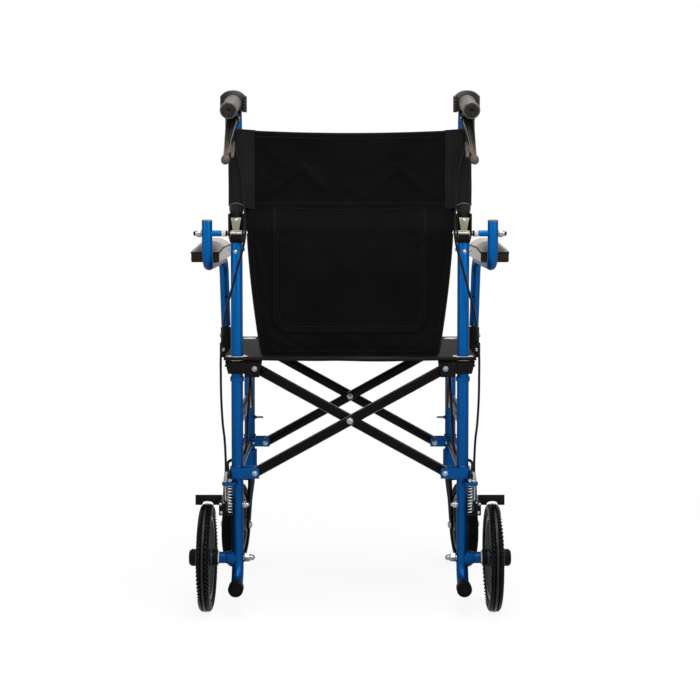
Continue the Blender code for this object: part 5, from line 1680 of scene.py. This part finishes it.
def wheelMesh(centre, axis, sizes):
    # moulded centre: hub, tapered spokes with a rib, and a dished rim
    rimRadius, rimInner, half = sizes["rimRadius"], sizes["rimInner"], sizes["rimHalf"]
    hubRadius, hubLow, hubHigh = sizes["hub"]
    rim = [
        (-half, rimInner + 0.0012), (-half, rimRadius - 0.001), (-half + 0.001, rimRadius),
        (half - 0.001, rimRadius), (half, rimRadius - 0.001), (half, rimInner + 0.0012),
        (half - 0.0012, rimInner), (half * 0.3, rimInner - 0.0016), (-half * 0.3, rimInner - 0.0016),
        (-half + 0.0012, rimInner),
    ]
    # reach from the axle, half width, half depth
    sections = (
        (hubRadius * 0.8, hubRadius * 0.6, 0.0062), (hubRadius * 1.7, 0.006, 0.0056),
        (rimInner * 0.85, 0.0058, 0.005), (rimInner + 0.001, 0.009, 0.0048),
    )
    spoke = []
    for reach, wide, deep in sections:
        corners = []
        for t in ringAngles(16):
            across, ahead = signedPower(math.cos(t), 0.5) * deep, signedPower(math.sin(t), 0.5) * wide
            corners.append(Vector((across, ahead, reach)))
        spoke.append(corners)
    arm = loftRings(spoke)
    turnAboutX(arm, math.radians(spokes["phaseDegrees"]))
    ends = [(hubLow * 0.6, 0.9), (hubLow * 0.55, 1), (hubHigh * 0.55, 1), (hubHigh * 0.6, 0.9)]
    return gathered(
        openRing(rim, centre, axis),
        spun(arm, spokes["count"], centre, axis, "greyNylon"),
        turned([(along, hubRadius * share) for along, share in ends], centre, axis, 48),
    )


def openRing(profile, centre, axis, sides=96):
    # closed profile turned about an axle, with no caps
    bm = bmesh.new()
    rows = []
    for along, radius in profile:
        rows.append([bm.verts.new(point) for point in circle(centre, axis, along, radius, sides)])
    for a, b in zip(rows, rows[1:] + rows[:1]):
        for i in range(sides):
            j = (i + 1) % sides
            bm.faces.new((a[i], a[j], b[j], b[i]))
    return bm


def turnAboutX(bm, angle):
    bmesh.ops.rotate(bm, verts=bm.verts, cent=(0, 0, 0), matrix=Matrix.Rotation(angle, 3, "X"))


def makeRearWheel(side):
    radius, tread, rimRadius = wheel["radius"], wheel["treadHigh"], wheel["rimRadius"]
    centre, axis = at(side, wheel["x"], 0, radius), (side, 0, 0)
    addSide(side, wheelMesh(centre, axis, wheel), "rear_wheel", "darkNylon", "rear_wheel", True, 30)
    cap = gathered(*(turned(profile, centre, axis, 48) for profile in wheel["caps"]))
    addSide(side, cap, "hub_cap", "nylon", "rear_wheel", None, 40)
    low, half = radius - tread, wheel["tyreHalf"] - tread * 0.6
    tyre = turned(tyreSection(low, rimRadius, half), centre, axis, 96)
    addSide(side, tyre, "rear_tyre", "tyre", "rear_wheel", True, 30)
    ridge = [
        (-0.0026, low - 0.001), (-0.0019, radius - 0.0003), (0, radius), (0.0019, radius - 0.0003),
        (0.0026, low - 0.001),
    ]
    addSide(side, turned(ridge, centre, axis, 96), "tyre_ridge", "ridge", "rear_wheel")
    pitch = 2 * math.pi * radius / wheel["bars"]
    rows = []
    for sideways in (-1, 1):
        for index, ends in enumerate(wheel["barRows"]):
            bar = treadBar(low, rimRadius, half, sideways, pitch, tread, ends)
            # the outer row starts most of a bar back
            turnAboutX(bar, -0.9 * index * pitch / radius)
            rows.append(spun(bar, wheel["bars"], centre, axis, "tread"))
    addSide(side, gathered(*rows), "tyre_tread", "tread", "rear_wheel", None, 30, False)


def casterPlaces(side):
    yaw = math.radians(caster["yawDegrees"])
    trail = Matrix.Rotation(-side * yaw, 3, "Z") @ Vector((0, -caster["trail"], 0))
    stem = at(side, frontPost["casterX"], frontPost["casterY"], 0)
    centre = stem + Vector((abs(trail.x) * side, trail.y, caster["radius"]))
    axis = Matrix.Rotation(side * yaw, 3, "Z") @ Vector((side, 0, 0))
    return stem, centre, axis


def makeCaster(side):
    stem, centre, axis = casterPlaces(side)
    turn = Matrix.Translation(stem) @ Matrix.Rotation(side * math.radians(caster["yawDegrees"]), 4, "Z")
    trail, radius = -caster["trail"], caster["radius"]
    inner, outer = caster["forkInner"], caster["forkOuter"]
    leg = [(0.0155, 0.187), (-0.03, 0.187), (-0.033, 0.18), (-0.04, 0.14)]
    for step in range(9):
        a = math.radians(-195 + 210 * step / 8)
        leg.append((trail + 0.0115 * math.cos(a), radius + 0.0115 * math.sin(a)))
    leg += [(-0.01, 0.135), (0.014, 0.17), (0.0155, 0.18)]
    crown = [(-outer, -0.03), (outer, -0.03), (outer, 0.0155), (-outer, 0.0155)]
    whole = gathered(
        prism(leg, -outer, -inner, "x", bevel=0.0012),
        prism(leg, inner, outer, "x", bevel=0.0012),
        prism(crown, 0.18, 0.187, "z", bevel=0.0016),
        turned([(0, 0.008), (0.056, 0.008)], (0, 0, 0.184), (0, 0, 1), 32),
    )
    steel = [
        turned([(0, 0.005), (0.062, 0.005)], (-0.031, trail, radius), (1, 0, 0), 24),
        turned([(0, 0.013), (0.0016, 0.013)], (0, 0, 0.1866), (0, 0, 1), 40),
    ]
    for way in (-1, 1):
        washer = [(0, 0.0092), (0.001, 0.0092), (0.0012, 0.0088)]
        steel.append(turned(washer, (way * outer, trail, radius), (way, 0, 0), 32))
        steel.append(domeHead((way * 0.0296, trail, radius), (way, 0, 0), 0.0072, 0.0042))
    bolts = gathered(*steel)
    for part in (whole, bolts):
        bmesh.ops.transform(part, matrix=turn, verts=part.verts)
    addSide(side, whole, "caster_fork", "forkEnamel", "caster_fork", True)
    addSide(side, bolts, "caster_bolts", "zinc", "caster_fork")
    moulding = gathered(wheelMesh(centre, axis, caster), turned(caster["hubSleeve"], centre, axis, 48))
    addSide(side, moulding, "caster_wheel", "greyNylon", "caster_wheel", True, 30)
    tyre = turned(tyreSection(radius, caster["rimRadius"], caster["tyreHalf"]), centre, axis, 96)
    addSide(side, tyre, "caster_tyre", "tyre", "caster_wheel", True, 30)


# wheel brakes


brake = {
    # the bracket that the spring and the cable pull on: two cheeks, y and z
    "outerCheek": [
        (-0.0285, 0.185), (-0.0125, 0.185), (0.01, 0.188), (0.03, 0.2), (0.03, 0.211), (-0.01, 0.2135),
        (-0.0285, 0.211),
    ],
    "innerCheek": [
        (-0.0285, 0.185), (-0.0125, 0.185), (0.006, 0.187), (0.006, 0.212), (-0.01, 0.2135),
        (-0.0285, 0.211),
    ],
    "shoeMiddle": 0.2644, "shoeHalf": 0.0104, "shoeY": (-0.012, 0.04), "shoeTop": 0.214, "shoeSlope": 0.22,
}
brakeFittings = {
    "brake_rod": ("zinc", None, [
        ("turned", (0.2303, -0.0215, 0.206), "up", [(0, 0.0016), (0.034, 0.0016)], 20),
        ("box", (0.2352, -0.03, 0.188), (0.2398, -0.0284, 0.1935), 0.0005),
        ("dome", (0.2392, -0.0284, 0.206), "back", 0.003, 0.002),
    ]),
}


def makeBrake(side):
    middle, half = brake["shoeMiddle"], brake["shoeHalf"]
    arch = [(0.287, 0.2206), (0.2385, 0.2206), (0.2385, 0.2012), (middle - half, 0.2012)]
    for step in range(13):
        a = math.radians(180 - 180 * step / 12)
        arch.append((middle + half * math.cos(a), 0.2012 + 0.007 * abs(math.sin(a)) ** 0.6))
    arch += [(middle + half, 0.2012), (0.287, 0.2012)]
    shoe = slab(side, arch, *brake["shoeY"], "y", 0.001)
    for vert in shoe.verts:
        # the top slopes down to the front
        if vert.co.z > brake["shoeTop"]:
            vert.co.z -= brake["shoeSlope"] * (vert.co.y - chair["rearY"] - brake["shoeY"][0])
    arm = shaped(
        side,
        ("slab", brake["outerCheek"], 0.238, 0.242, "x", 0.001),
        ("slab", brake["innerCheek"], 0.2287, 0.232, "x", 0.0008),
        ("box", (0.2165, -0.0285, 0.185), (0.242, -0.013, 0.1886), 0.0008),
        ("box", (0.23, -0.0285, 0.1886), (0.24, -0.0262, 0.208), 0.0006),
    )
    addSide(side, gathered(arm, shoe), "wheel_brake_arm", "nylon", "wheel_brake", True)
    addFittings(side, "wheel_brake", brakeFittings)


spring = {
    "x": 0.2225, "y": -0.0215, "lowZ": 0.1895, "highZ": 0.239, "coils": 10, "radius": 0.0048, "wire": 0.001,
}


def makeSpring(side):
    # open coil between the tab and the brake arm, shortened with it
    x, y, low, high, coils, coil, wireRadius = spring.values()
    steps = 20
    points = []
    for step in range(coils * steps + 1):
        angle = 2 * math.pi * step / steps
        # the first and last turns lie flat
        climb = clipped((step / (coils * steps) - 0.05) / 0.9)
        points.append(
            at(side, x + coil * math.cos(angle), y + coil * math.sin(angle), low + (high - low) * climb)
        )
    wire = pathTube(points, wireRadius, "brightZinc", 10)
    addSide(side, wire, "brake_spring", "brightZinc", "side_frame", True, 60)


for side in sides:
    makeArmrestTube(side)
    makePad(side)
    addFittings(side, "side_frame", socketFittings)
    makeRearWheel(side)
    makeCaster(side)
    makeBrake(side)
    makeSpring(side)
print("armrests, wheels and brakes made")


# cloth: back in two parts that meet at the hinge line, pocket, seat


cloth = {
    "thickness": 0.0014, "cell": 0.003, "creaseDepth": 1.25, "creaseWidth": 0.78,
    "seamZ": 0.757, "topZ": 0.8965, "topDip": 0.007, "panelHalf": 0.186,
    "foldKeep": 0.407,  # share of the width left when the chair is folded
    "flapLow": 0.479, "flapWide": 0.19, "flapNarrowing": 0.0272, "flapCorner": 0.007,
    "pocketHalf": 0.143, "pocketTop": 0.7503, "pocketLow": 0.524, "pocketCorner": 0.034,
}

# creases seen in the photo, on the left half: two ends (x, z), width, and height behind the cloth's plane
panelCreases = [
    ((-0.0854, 0.8275), (-0.1634, 0.7662), 0.0085, 0.0034),
    ((-0.0854, 0.8275), (-0.0464, 0.7848), 0.01, 0.003),
    ((-0.03, 0.805), (0.035, 0.77), 0.012, 0.0012),
    ((-0.17, 0.875), (-0.125, 0.835), 0.011, 0.0014),
    ((-0.173, 0.825), (-0.14, 0.79), 0.007, 0.0013),
    ((-0.155, 0.89), (-0.07, 0.88), 0.009, 0.0012),
]
flapCreases = [
    ((-0.1392, 0.7068), (-0.1244, 0.6864), 0.005, 0.0024),
    ((-0.1244, 0.6864), (-0.0928, 0.7013), 0.0055, 0.0024),
    ((-0.1355, 0.712), (-0.1114, 0.7125), 0.004, 0.0014),
    ((-0.1745, 0.692), (-0.1522, 0.5806), 0.0055, 0.0022),
    ((-0.1634, 0.5249), (-0.1114, 0.4971), 0.007, 0.0022),
    ((-0.1207, 0.5249), (-0.0557, 0.4878), 0.008, 0.002),
    ((-0.06, 0.535), (0.01, 0.508), 0.01, 0.0012),
    ((-0.16, 0.57), (-0.145, 0.495), 0.006, 0.0014),
    ((-0.03, 0.67), (0.03, 0.6), 0.016, 0.0014),
]


def distanceToSegment(x, z, a, b):
    ax, az = a
    bx, bz = b
    dx, dz = bx - ax, bz - az
    share = max(0.0, min(1.0, ((x - ax) * dx + (z - az) * dz) / (dx * dx + dz * dz)))
    return math.hypot(x - ax - dx * share, z - az - dz * share), share


def creased(x, z, creases):
    # how far the cloth stands out behind its plane, metres
    out = 0.0
    for a, b, fullWidth, height in creases:
        width = fullWidth * cloth["creaseWidth"]
        for mirrored, strength in ((1, 1.0), (-1, 0.82)):
            far, share = distanceToSegment(x * mirrored, z, a, b)
            if far < 3 * width:
                taper = math.sin(math.pi * (0.12 + 0.76 * share)) ** 0.7
                out += cloth["creaseDepth"] * height * strength * taper * math.exp(-((far / width) ** 2))
    return out


def billow(x, z, half):
    fade = max(0.0, 1 - (x / half) ** 2)
    slow = noise.noise(Vector((x * 9, 3.1, z * 7))) * 0.005
    quick = noise.noise(Vector((x * 30, 7.7, z * 24))) * 0.0016
    return fade * (slow + quick)


def sheetMesh(rows, thickness):
    # rows of points as a closed sheet
    points = np.array([[tuple(p) for p in row] for row in rows])
    down = np.gradient(points, axis=0)
    across = np.gradient(points, axis=1)
    normals = np.cross(across, down)
    normals /= np.linalg.norm(normals, axis=2, keepdims=True)
    bm = bmesh.new()
    layers = []
    for way in (0.5, -0.5):
        layer = points + normals * thickness * way
        layers.append([[bm.verts.new(p) for p in row] for row in layer])
    count, wide = points.shape[:2]
    for i in range(count - 1):
        for j in range(wide - 1):
            for layer, turn in zip(layers, (1, -1)):
                corners = [layer[i][j], layer[i][j + 1], layer[i + 1][j + 1], layer[i + 1][j]]
                bm.faces.new(corners[::turn])
    border = [(0, j) for j in range(wide)] + [(i, wide - 1) for i in range(1, count)]
    border += [(count - 1, j) for j in range(wide - 2, -1, -1)] + [(i, 0) for i in range(count - 2, 0, -1)]
    for (i, j), (k, m) in zip(border, border[1:] + border[:1]):
        bm.faces.new((layers[0][i][j], layers[1][i][j], layers[1][k][m], layers[0][k][m]))
    return bm


def spread(low, high, cell):
    return np.linspace(low, high, max(2, round((high - low) / cell) + 1))


def cornerCut(rise, radius):
    # how far a round lower corner draws the edge in, this high above the lower edge
    return radius - math.sqrt(max(radius**2 - (radius - rise) ** 2, 0.0)) if rise < radius else 0.0


def flapHalf(z):
    share = (cloth["seamZ"] - z) / (cloth["seamZ"] - cloth["flapLow"])
    width = cloth["flapWide"] - cloth["flapNarrowing"] * max(share, 0.0) ** 1.7
    return width - cornerCut(z - cloth["flapLow"], cloth["flapCorner"])


def bandHalf(z):
    # above the hinge line the cloth reaches out towards the hinge bolts
    rise = clipped((z - hingeZ) / 0.012)
    return flapHalf(z) - 0.0005 + 0.0038 * rise


def pocketTop(x):
    # upper seam, bowed down in the middle
    return cloth["pocketTop"] + 0.006 * min(abs(x) / 0.15, 1.0) ** 2


def pocketHalf(z):
    return cloth["pocketHalf"] - cornerCut(z - cloth["pocketLow"], cloth["pocketCorner"])


def foldLean(z):
    share = clipped((cloth["seamZ"] - z) / (cloth["seamZ"] - hingeZ))
    return hingeY * share * share * (3 - 2 * share)


def panelPoint(x, z, lift=0.0):
    level = (z - cloth["seamZ"]) / (cloth["topZ"] - cloth["seamZ"])
    hold = math.sin(math.pi * clipped(level)) ** 0.5
    inner = max(0.0, 1 - (x / cloth["panelHalf"]) ** 8)
    out = (creased(x, z, panelCreases) + billow(x, z, 0.19)) * hold * inner
    return at(1, x, -0.0004 - out - lift, z)


def bandPoint(x, z, lift=0.0):
    return at(1, x, foldLean(z) - 0.0004 - lift, z)


def flapPoint(x, z, lift=0.0):
    drop = (hingeZ - z) / (hingeZ - cloth["flapLow"])
    hold = min(1.0, max(0.0, drop) * 9) * min(1.0, max(0.0, 1 - drop) * 8 + 0.35)
    out = creased(x, z, flapCreases) + billow(x, z, 0.2) + 0.0008
    return at(1, x, hingeY - 0.0004 - out * hold - lift, z)


def topEdge(x):
    return cloth["topZ"] - cloth["topDip"] * (1 - (x / 0.226) ** 2)


def sewn(bm, name, material, body, node=None, smoothDegrees=35):
    # a piece of the back, with a mesh of its own
    piece = add(bm, name, material, body, node, smoothDegrees)
    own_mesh(piece)
    return piece


def clothPiece(rows, name, body, node=None):
    return sewn(sheetMesh(rows, cloth["thickness"]), name, "cloth", body, node, 60)


def threadPiece(paths, name, body, **sizes):
    return sewn(stitches(paths, **sizes), name, "thread", body, None, 60)


def makeBackPanel():
    half = cloth["panelHalf"]
    rows = []
    for level in spread(0, 1, cloth["cell"] / 0.14):
        row = []
        for x in spread(-half, half, cloth["cell"]):
            z = cloth["seamZ"] - 0.002 + level * (topEdge(x) - cloth["seamZ"] + 0.002)
            row.append(panelPoint(x, z))
        rows.append(row)
    panel = clothPiece(rows, "back_panel", "left_back", "back_upholstery")
    # folded hem along the top, bound in a browner tape
    path = [at(1, x, -0.0005, topEdge(x) - 0.0015) for x in spread(-0.2225, 0.2225, 0.006)]
    middle = [p for p in path if abs(p.x) <= half]
    hem = sewn(flatTape(middle, 0.0046, 0.0032), "back_top_binding", "binding", "left_back")
    seams = [[panelPoint(x, topEdge(x) - 0.0095, 0.001) for x in spread(-half + 0.006, half - 0.006, 0.004)]]
    for rise in (0.0022, 0.0052):
        z = cloth["seamZ"] + rise
        seams.append([panelPoint(x, z, 0.001) for x in spread(-half + 0.004, half - 0.004, 0.004)])
    thread = threadPiece(seams, "back_panel_stitches", "left_back")
    return panel, [hem, thread]


def flatTape(points, high, thick):
    # binding tape folded over an edge: a flat oval along the points, high in Z
    rings = []
    for point, (tangent, _, _) in zip(points, framesAlong(points)):
        side = tangent.cross(Vector((0, 0, 1))).normalized()
        up = side.cross(tangent).normalized()
        ring = []
        for t in ringAngles(14):
            wide, tall = signedPower(math.cos(t), 0.7) * thick / 2, signedPower(math.sin(t), 0.7)
            ring.append(point + side * wide + up * tall * high / 2)
        rings.append(ring)
    return loftRings(rings)


def sleeveSection():
    # plan of a sleeve, outwards and back: hem, behind the cane, round it, in front of it, back to the panel
    r = post["radius"] + 0.003
    x = postX
    section = [(0.1755, -0.0014), (0.18, -0.002), (0.185, -0.0048), (0.1905, -0.0086), (0.196, -0.0118)]
    for step in range(20):
        a = math.radians(-108 + 216 * step / 19)
        section.append((x + r * math.cos(a), r * math.sin(a)))
    section += [(0.196, 0.0104), (0.1885, 0.0046), (0.179, 0.0014), (0.174, 0.0012)]
    return section


def sleeveLow(x):
    # lower edge: lowest inboard, arched over the cane's collar
    across = min(abs(x - postX) / 0.0145, 1.0)
    return 0.7515 + 0.0058 * min(max((x - 0.186) / 0.01, 0), 1) + 0.005 * (1 - across * across)


def makeSleeve(side):
    body = f"{word(side)}_back"
    section = sleeveSection()
    rows = []
    for level in spread(0, 1, 0.03):
        row = []
        for index, (x, y) in enumerate(section):
            low = sleeveLow(x)
            z = low + level * (topEdge(x) + 0.0005 - low)
            place = Vector((x * 40, side * 5 + index * 0.2, z * 26))
            soft = noise.noise(place) * 0.0011 * math.sin(math.pi * level)
            row.append(at(side, x + soft * 0.6, y - abs(soft) * 0.6, z))
        rows.append(row if side > 0 else row[::-1])
    sheet = sheetMesh(rows, cloth["thickness"])
    sleeve = add(sheet, f"back_sleeve_{word(side)}", "sleeveCloth", body, None, 60)
    lines = []
    for x in (0.1785, 0.1865):
        y = -0.0031 if x < 0.18 else -0.0072
        lines.append([at(side, x, y, z) for z in spread(0.756, topEdge(x) - 0.004, 0.004)])
    thread = add(stitches(lines), f"sleeve_stitches_{word(side)}", "thread", body, None, 60)
    lower = [at(side, x, y, sleeveLow(x)) for x, y in section]
    upper = [at(side, x, y, topEdge(x) - 0.0002) for x, y in section]
    bindings = gathered(
        flatTape(smoothPath(lower, 2), 0.0024, 0.0022), flatTape(smoothPath(upper, 2), 0.004, 0.0026),
    )
    edge = add(bindings, f"sleeve_binding_{word(side)}", "sleeveCloth", body)
    # pale line along the sleeve's lower edge: a painted highlight
    rim = [at(side, x, y - 0.001, sleeveLow(x) - 0.001) for x, y in section[4:16]]
    add(pathTube(smoothPath(rim, 3), 0.0006, "rimNylon", 8), f"sleeve_rim_{word(side)}", "rimNylon", body)


def makeBackLower():
    # band above the hinge line, flap below it
    levels = spread(hingeZ, cloth["seamZ"], cloth["cell"])
    rows = [[bandPoint(share * bandHalf(z), z) for share in spread(-1, 1, 0.016)] for z in levels]
    band = clothPiece(rows, "back_band", "left_back")
    corner = [cloth["flapLow"] + rise for rise in (0.0, 0.0004, 0.0014, 0.003, 0.0052, 0.008, 0.011)]
    levels = corner + list(spread(cloth["flapLow"] + 0.014, hingeZ, cloth["cell"]))
    rows = [[flapPoint(share * flapHalf(z), z) for share in spread(-1, 1, 0.015)] for z in levels]
    flap = clothPiece(rows, "back_flap_cloth", "left_side_frame", "back_flap")
    edge = [flapPoint(-flapHalf(z), z) for z in reversed(levels)]
    edge += [flapPoint(x, cloth["flapLow"]) for x in spread(-0.1545, 0.1545, 0.006)]
    edge += [flapPoint(flapHalf(z), z) for z in levels]
    tape = sewn(ribbonEdge(edge, 0.0034, 0.0024), "flap_binding", "binding", "left_side_frame")
    # stitches inside the binding: up both sides and along the lower edge
    lines = [[flapPoint(x, cloth["flapLow"] + 0.0095, 0.001) for x in spread(-0.135, 0.135, 0.004)]]
    for way, heights in ((-1, levels[::-1]), (1, levels)):
        line = []
        for z in heights:
            if z > cloth["flapLow"] + 0.02:
                line.append(flapPoint(way * (flapHalf(max(z, cloth["flapLow"] + 0.008)) - 0.0075), z, 0.001))
        lines.insert(0 if way < 0 else 2, line)
    thread = threadPiece(lines, "flap_stitches", "left_side_frame")
    return band, flap, [tape, thread]


def ribbonEdge(points, high, thick):
    # rolled edge along the outline of a sheet that faces back
    rings = []
    for point, (tangent, _, _) in zip(points, framesAlong(points)):
        back = Vector((0, -1, 0))
        across = tangent.cross(back).normalized()
        ring = []
        for t in ringAngles(12):
            ring.append(point + across * math.cos(t) * high / 2 + back * math.sin(t) * thick / 2)
        rings.append(ring)
    return loftRings(rings)


def pocketOutline(levels):
    left = [(-pocketHalf(z), z) for z in reversed(levels)]
    end = cloth["pocketHalf"] - cloth["pocketCorner"] - 0.004
    base = [(x, cloth["pocketLow"]) for x in spread(-end, end, 0.006)]
    return left + base + [(-x, z) for x, z in reversed(left)]


def pocketPoint(x, z, lift=0.0):
    # flat patch on the flap; it bellies a little between its seams
    if z > hingeZ:
        return bandPoint(x, z, 0.002 + lift)
    middle = max(0.0, 1 - (x / cloth["pocketHalf"]) ** 4)
    belly = 0.0012 * middle * math.sin(math.pi * clipped((hingeZ - z) / 0.18))
    return flapPoint(x, z, 0.002 + belly + lift)


def makePocket():
    upperRows = []
    xs = [share * cloth["pocketHalf"] for share in spread(-1, 1, 0.021)]
    for level in spread(0, 1, 0.066):
        upperRows.append([pocketPoint(x, hingeZ + level * (pocketTop(x) - hingeZ)) for x in xs])
    seam = [pocketPoint(x, pocketTop(x) - 0.0012, 0.0012) for x in spread(-0.143, 0.143, 0.004)]
    upper = clothPiece(upperRows, "pocket_upper", "left_back")
    corner = [
        cloth["pocketLow"] + rise
        for rise in (0.0, 0.0008, 0.0026, 0.0055, 0.0095, 0.0145, 0.0205, 0.027)
    ]
    levels = corner + list(spread(cloth["pocketLow"] + 0.034, hingeZ, cloth["cell"]))
    rows = [[pocketPoint(share * pocketHalf(z), z) for share in spread(-1, 1, 0.021)] for z in levels]
    pocket = clothPiece(rows, "pocket_cloth", "left_side_frame", "back_pocket")
    outline = pocketOutline(levels)
    rim = ribbonEdge([pocketPoint(x, z) for x, z in outline], 0.003, 0.0026)
    edge = sewn(rim, "pocket_binding", "cloth", "left_side_frame")
    lines = []
    low = cloth["pocketLow"]
    for inset in (0.004, 0.01):
        across, down = 1 - inset / 0.143, 1 - inset / 0.18
        lines.append([pocketPoint(x * across, low + inset + (z - low) * down, 0.001) for x, z in outline])
    thread = threadPiece(lines, "pocket_stitches", "left_side_frame")
    # bartacks at the pocket's upper corners
    tacks = []
    for side in sides:
        for offset in (0.1364, 0.1386, 0.1408):
            tacks.append([pocketPoint(side * offset, z, 0.001) for z in spread(0.71, 0.7495, 0.002)])
    tackThread = threadPiece([*tacks, seam], "pocket_bartacks", "left_back", pitch=0.0026, length=0.0022)
    return upper, pocket, [edge, thread], [tackThread]


panel, panelExtras = makeBackPanel()
for side in sides:
    makeSleeve(side)
band, flap, flapExtras = makeBackLower()
pocketTopPiece, pocketPiece, pocketExtras, tackPieces = makePocket()
print("back cloth made")


seat = {
    "half": 0.2344, "inner": 0.19, "rearY": -0.0225, "frontY": 0.383, "topZ": 0.4785,
    "sag": 0.0095, "thickness": 0.0026, "hemHigh": 0.006,
    "keep": 0.4195,  # share of the width left when the chair is folded
}


def seatPoint(x, y, lift=0.0):
    across = max(0.0, 1 - (x / 0.17) ** 2)
    along = 0.2 + 0.8 * math.sin(math.pi * (y - seat["rearY"]) / (seat["frontY"] - seat["rearY"]))
    soft = noise.noise(Vector((x * 16, y * 14, 2.2))) * 0.0016 * across
    return at(1, x, y, seat["topZ"] - 0.0018 - seat["sag"] * across * along + soft + lift)


def seatPiece(bm, name, material, node=None, smoothDegrees=35):
    # a piece of the seat's middle, with a mesh of its own
    piece = add(bm, name, material, "left_seat_slide", node, smoothDegrees)
    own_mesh(piece)
    return piece


def makeSeat():
    inner, rear, front = seat["inner"], seat["rearY"], seat["frontY"]
    across = spread(-inner, inner, 0.006)
    rows = [[seatPoint(x, y) for x in across] for y in spread(rear, front, 0.006)]
    middle = seatPiece(sheetMesh(rows, seat["thickness"]), "seat_middle", "seatCloth", "seat_sling", 60)
    hems = [
        flatTape([seatPoint(x, y, -0.0016) for x in across], seat["hemHigh"], 0.0036)
        for y in (rear, front)
    ]
    hem = seatPiece(gathered(*hems), "seat_hems", "binding")
    lines = [
        [seatPoint(x, y, 0.0016) for x in spread(-inner, inner, 0.004)]
        for y in (rear + 0.01, front - 0.01)
    ]
    thread = seatPiece(stitches(lines), "seat_stitches", "thread")


def seatEdge(side):
    # the strip over a rail, round the collars, its edge hanging down outside the rail
    body = f"{word(side)}_seat_slide"
    inner, half, rear, front, top = (seat[key] for key in ("inner", "half", "rearY", "frontY", "topZ"))
    bm = bmesh.new()
    xs = spread(inner, half - 0.003, 0.002)
    grid = [[bm.verts.new(at(side, x, y, top - 0.0005)) for x in xs] for y in spread(rear, front, 0.0025)]
    for a, b in zip(grid, grid[1:]):
        for i in range(len(a) - 1):
            bm.faces.new((a[i], a[i + 1], b[i + 1], b[i]))
    for holeY, radius in ((0.0, 0.0204), (frontY, 0.0144)):
        centre = at(side, postX, holeY, 0)
        inside = {v for v in bm.verts if math.hypot(v.co.x - centre.x, v.co.y - centre.y) < radius}
        bmesh.ops.delete(bm, geom=[f for f in bm.faces if all(v in inside for v in f.verts)], context="FACES")
        for v in [v for v in inside if v.is_valid]:
            away = Vector((v.co.x - centre.x, v.co.y - centre.y, 0))
            v.co += away.normalized() * (radius - away.length)
    lower = bmesh.ops.extrude_face_region(bm, geom=bm.faces[:])["geom"]
    lowerVerts = [g for g in lower if isinstance(g, bmesh.types.BMVert)]
    bmesh.ops.translate(bm, vec=(0, 0, -seat["thickness"]), verts=lowerVerts)
    strip = add(bm, f"seat_edge_{word(side)}", "seatCloth", body, None, 60)
    edgeX = half - 0.0015
    ys = spread(0.019, 0.3215, 0.006)
    rows = []
    for z in spread(0.4565, top - 0.001, 0.004):
        rows.append([at(side, edgeX - 0.001 + 0.0009 * math.sin(90 * y + z * 60), y, z) for y in ys])
    piece = add(sheetMesh(rows, 0.002), f"seat_side_hem_{word(side)}", "seatCloth", body, None, 60)
    tapes = [flatTape([at(side, edgeX, y, 0.457) for y in spread(0.019, 0.3215, 0.01)], 0.003, 0.003)]
    for y in (rear, front):
        end = [at(side, x, y, top - 0.0034) for x in spread(inner, half - 0.002, 0.004)]
        tapes.append(flatTape(end, seat["hemHigh"], 0.0036))
    edge = add(gathered(*tapes), f"seat_edge_tape_{word(side)}", "binding", body)


makeSeat()
for side in sides:
    seatEdge(side)
print("seat made")
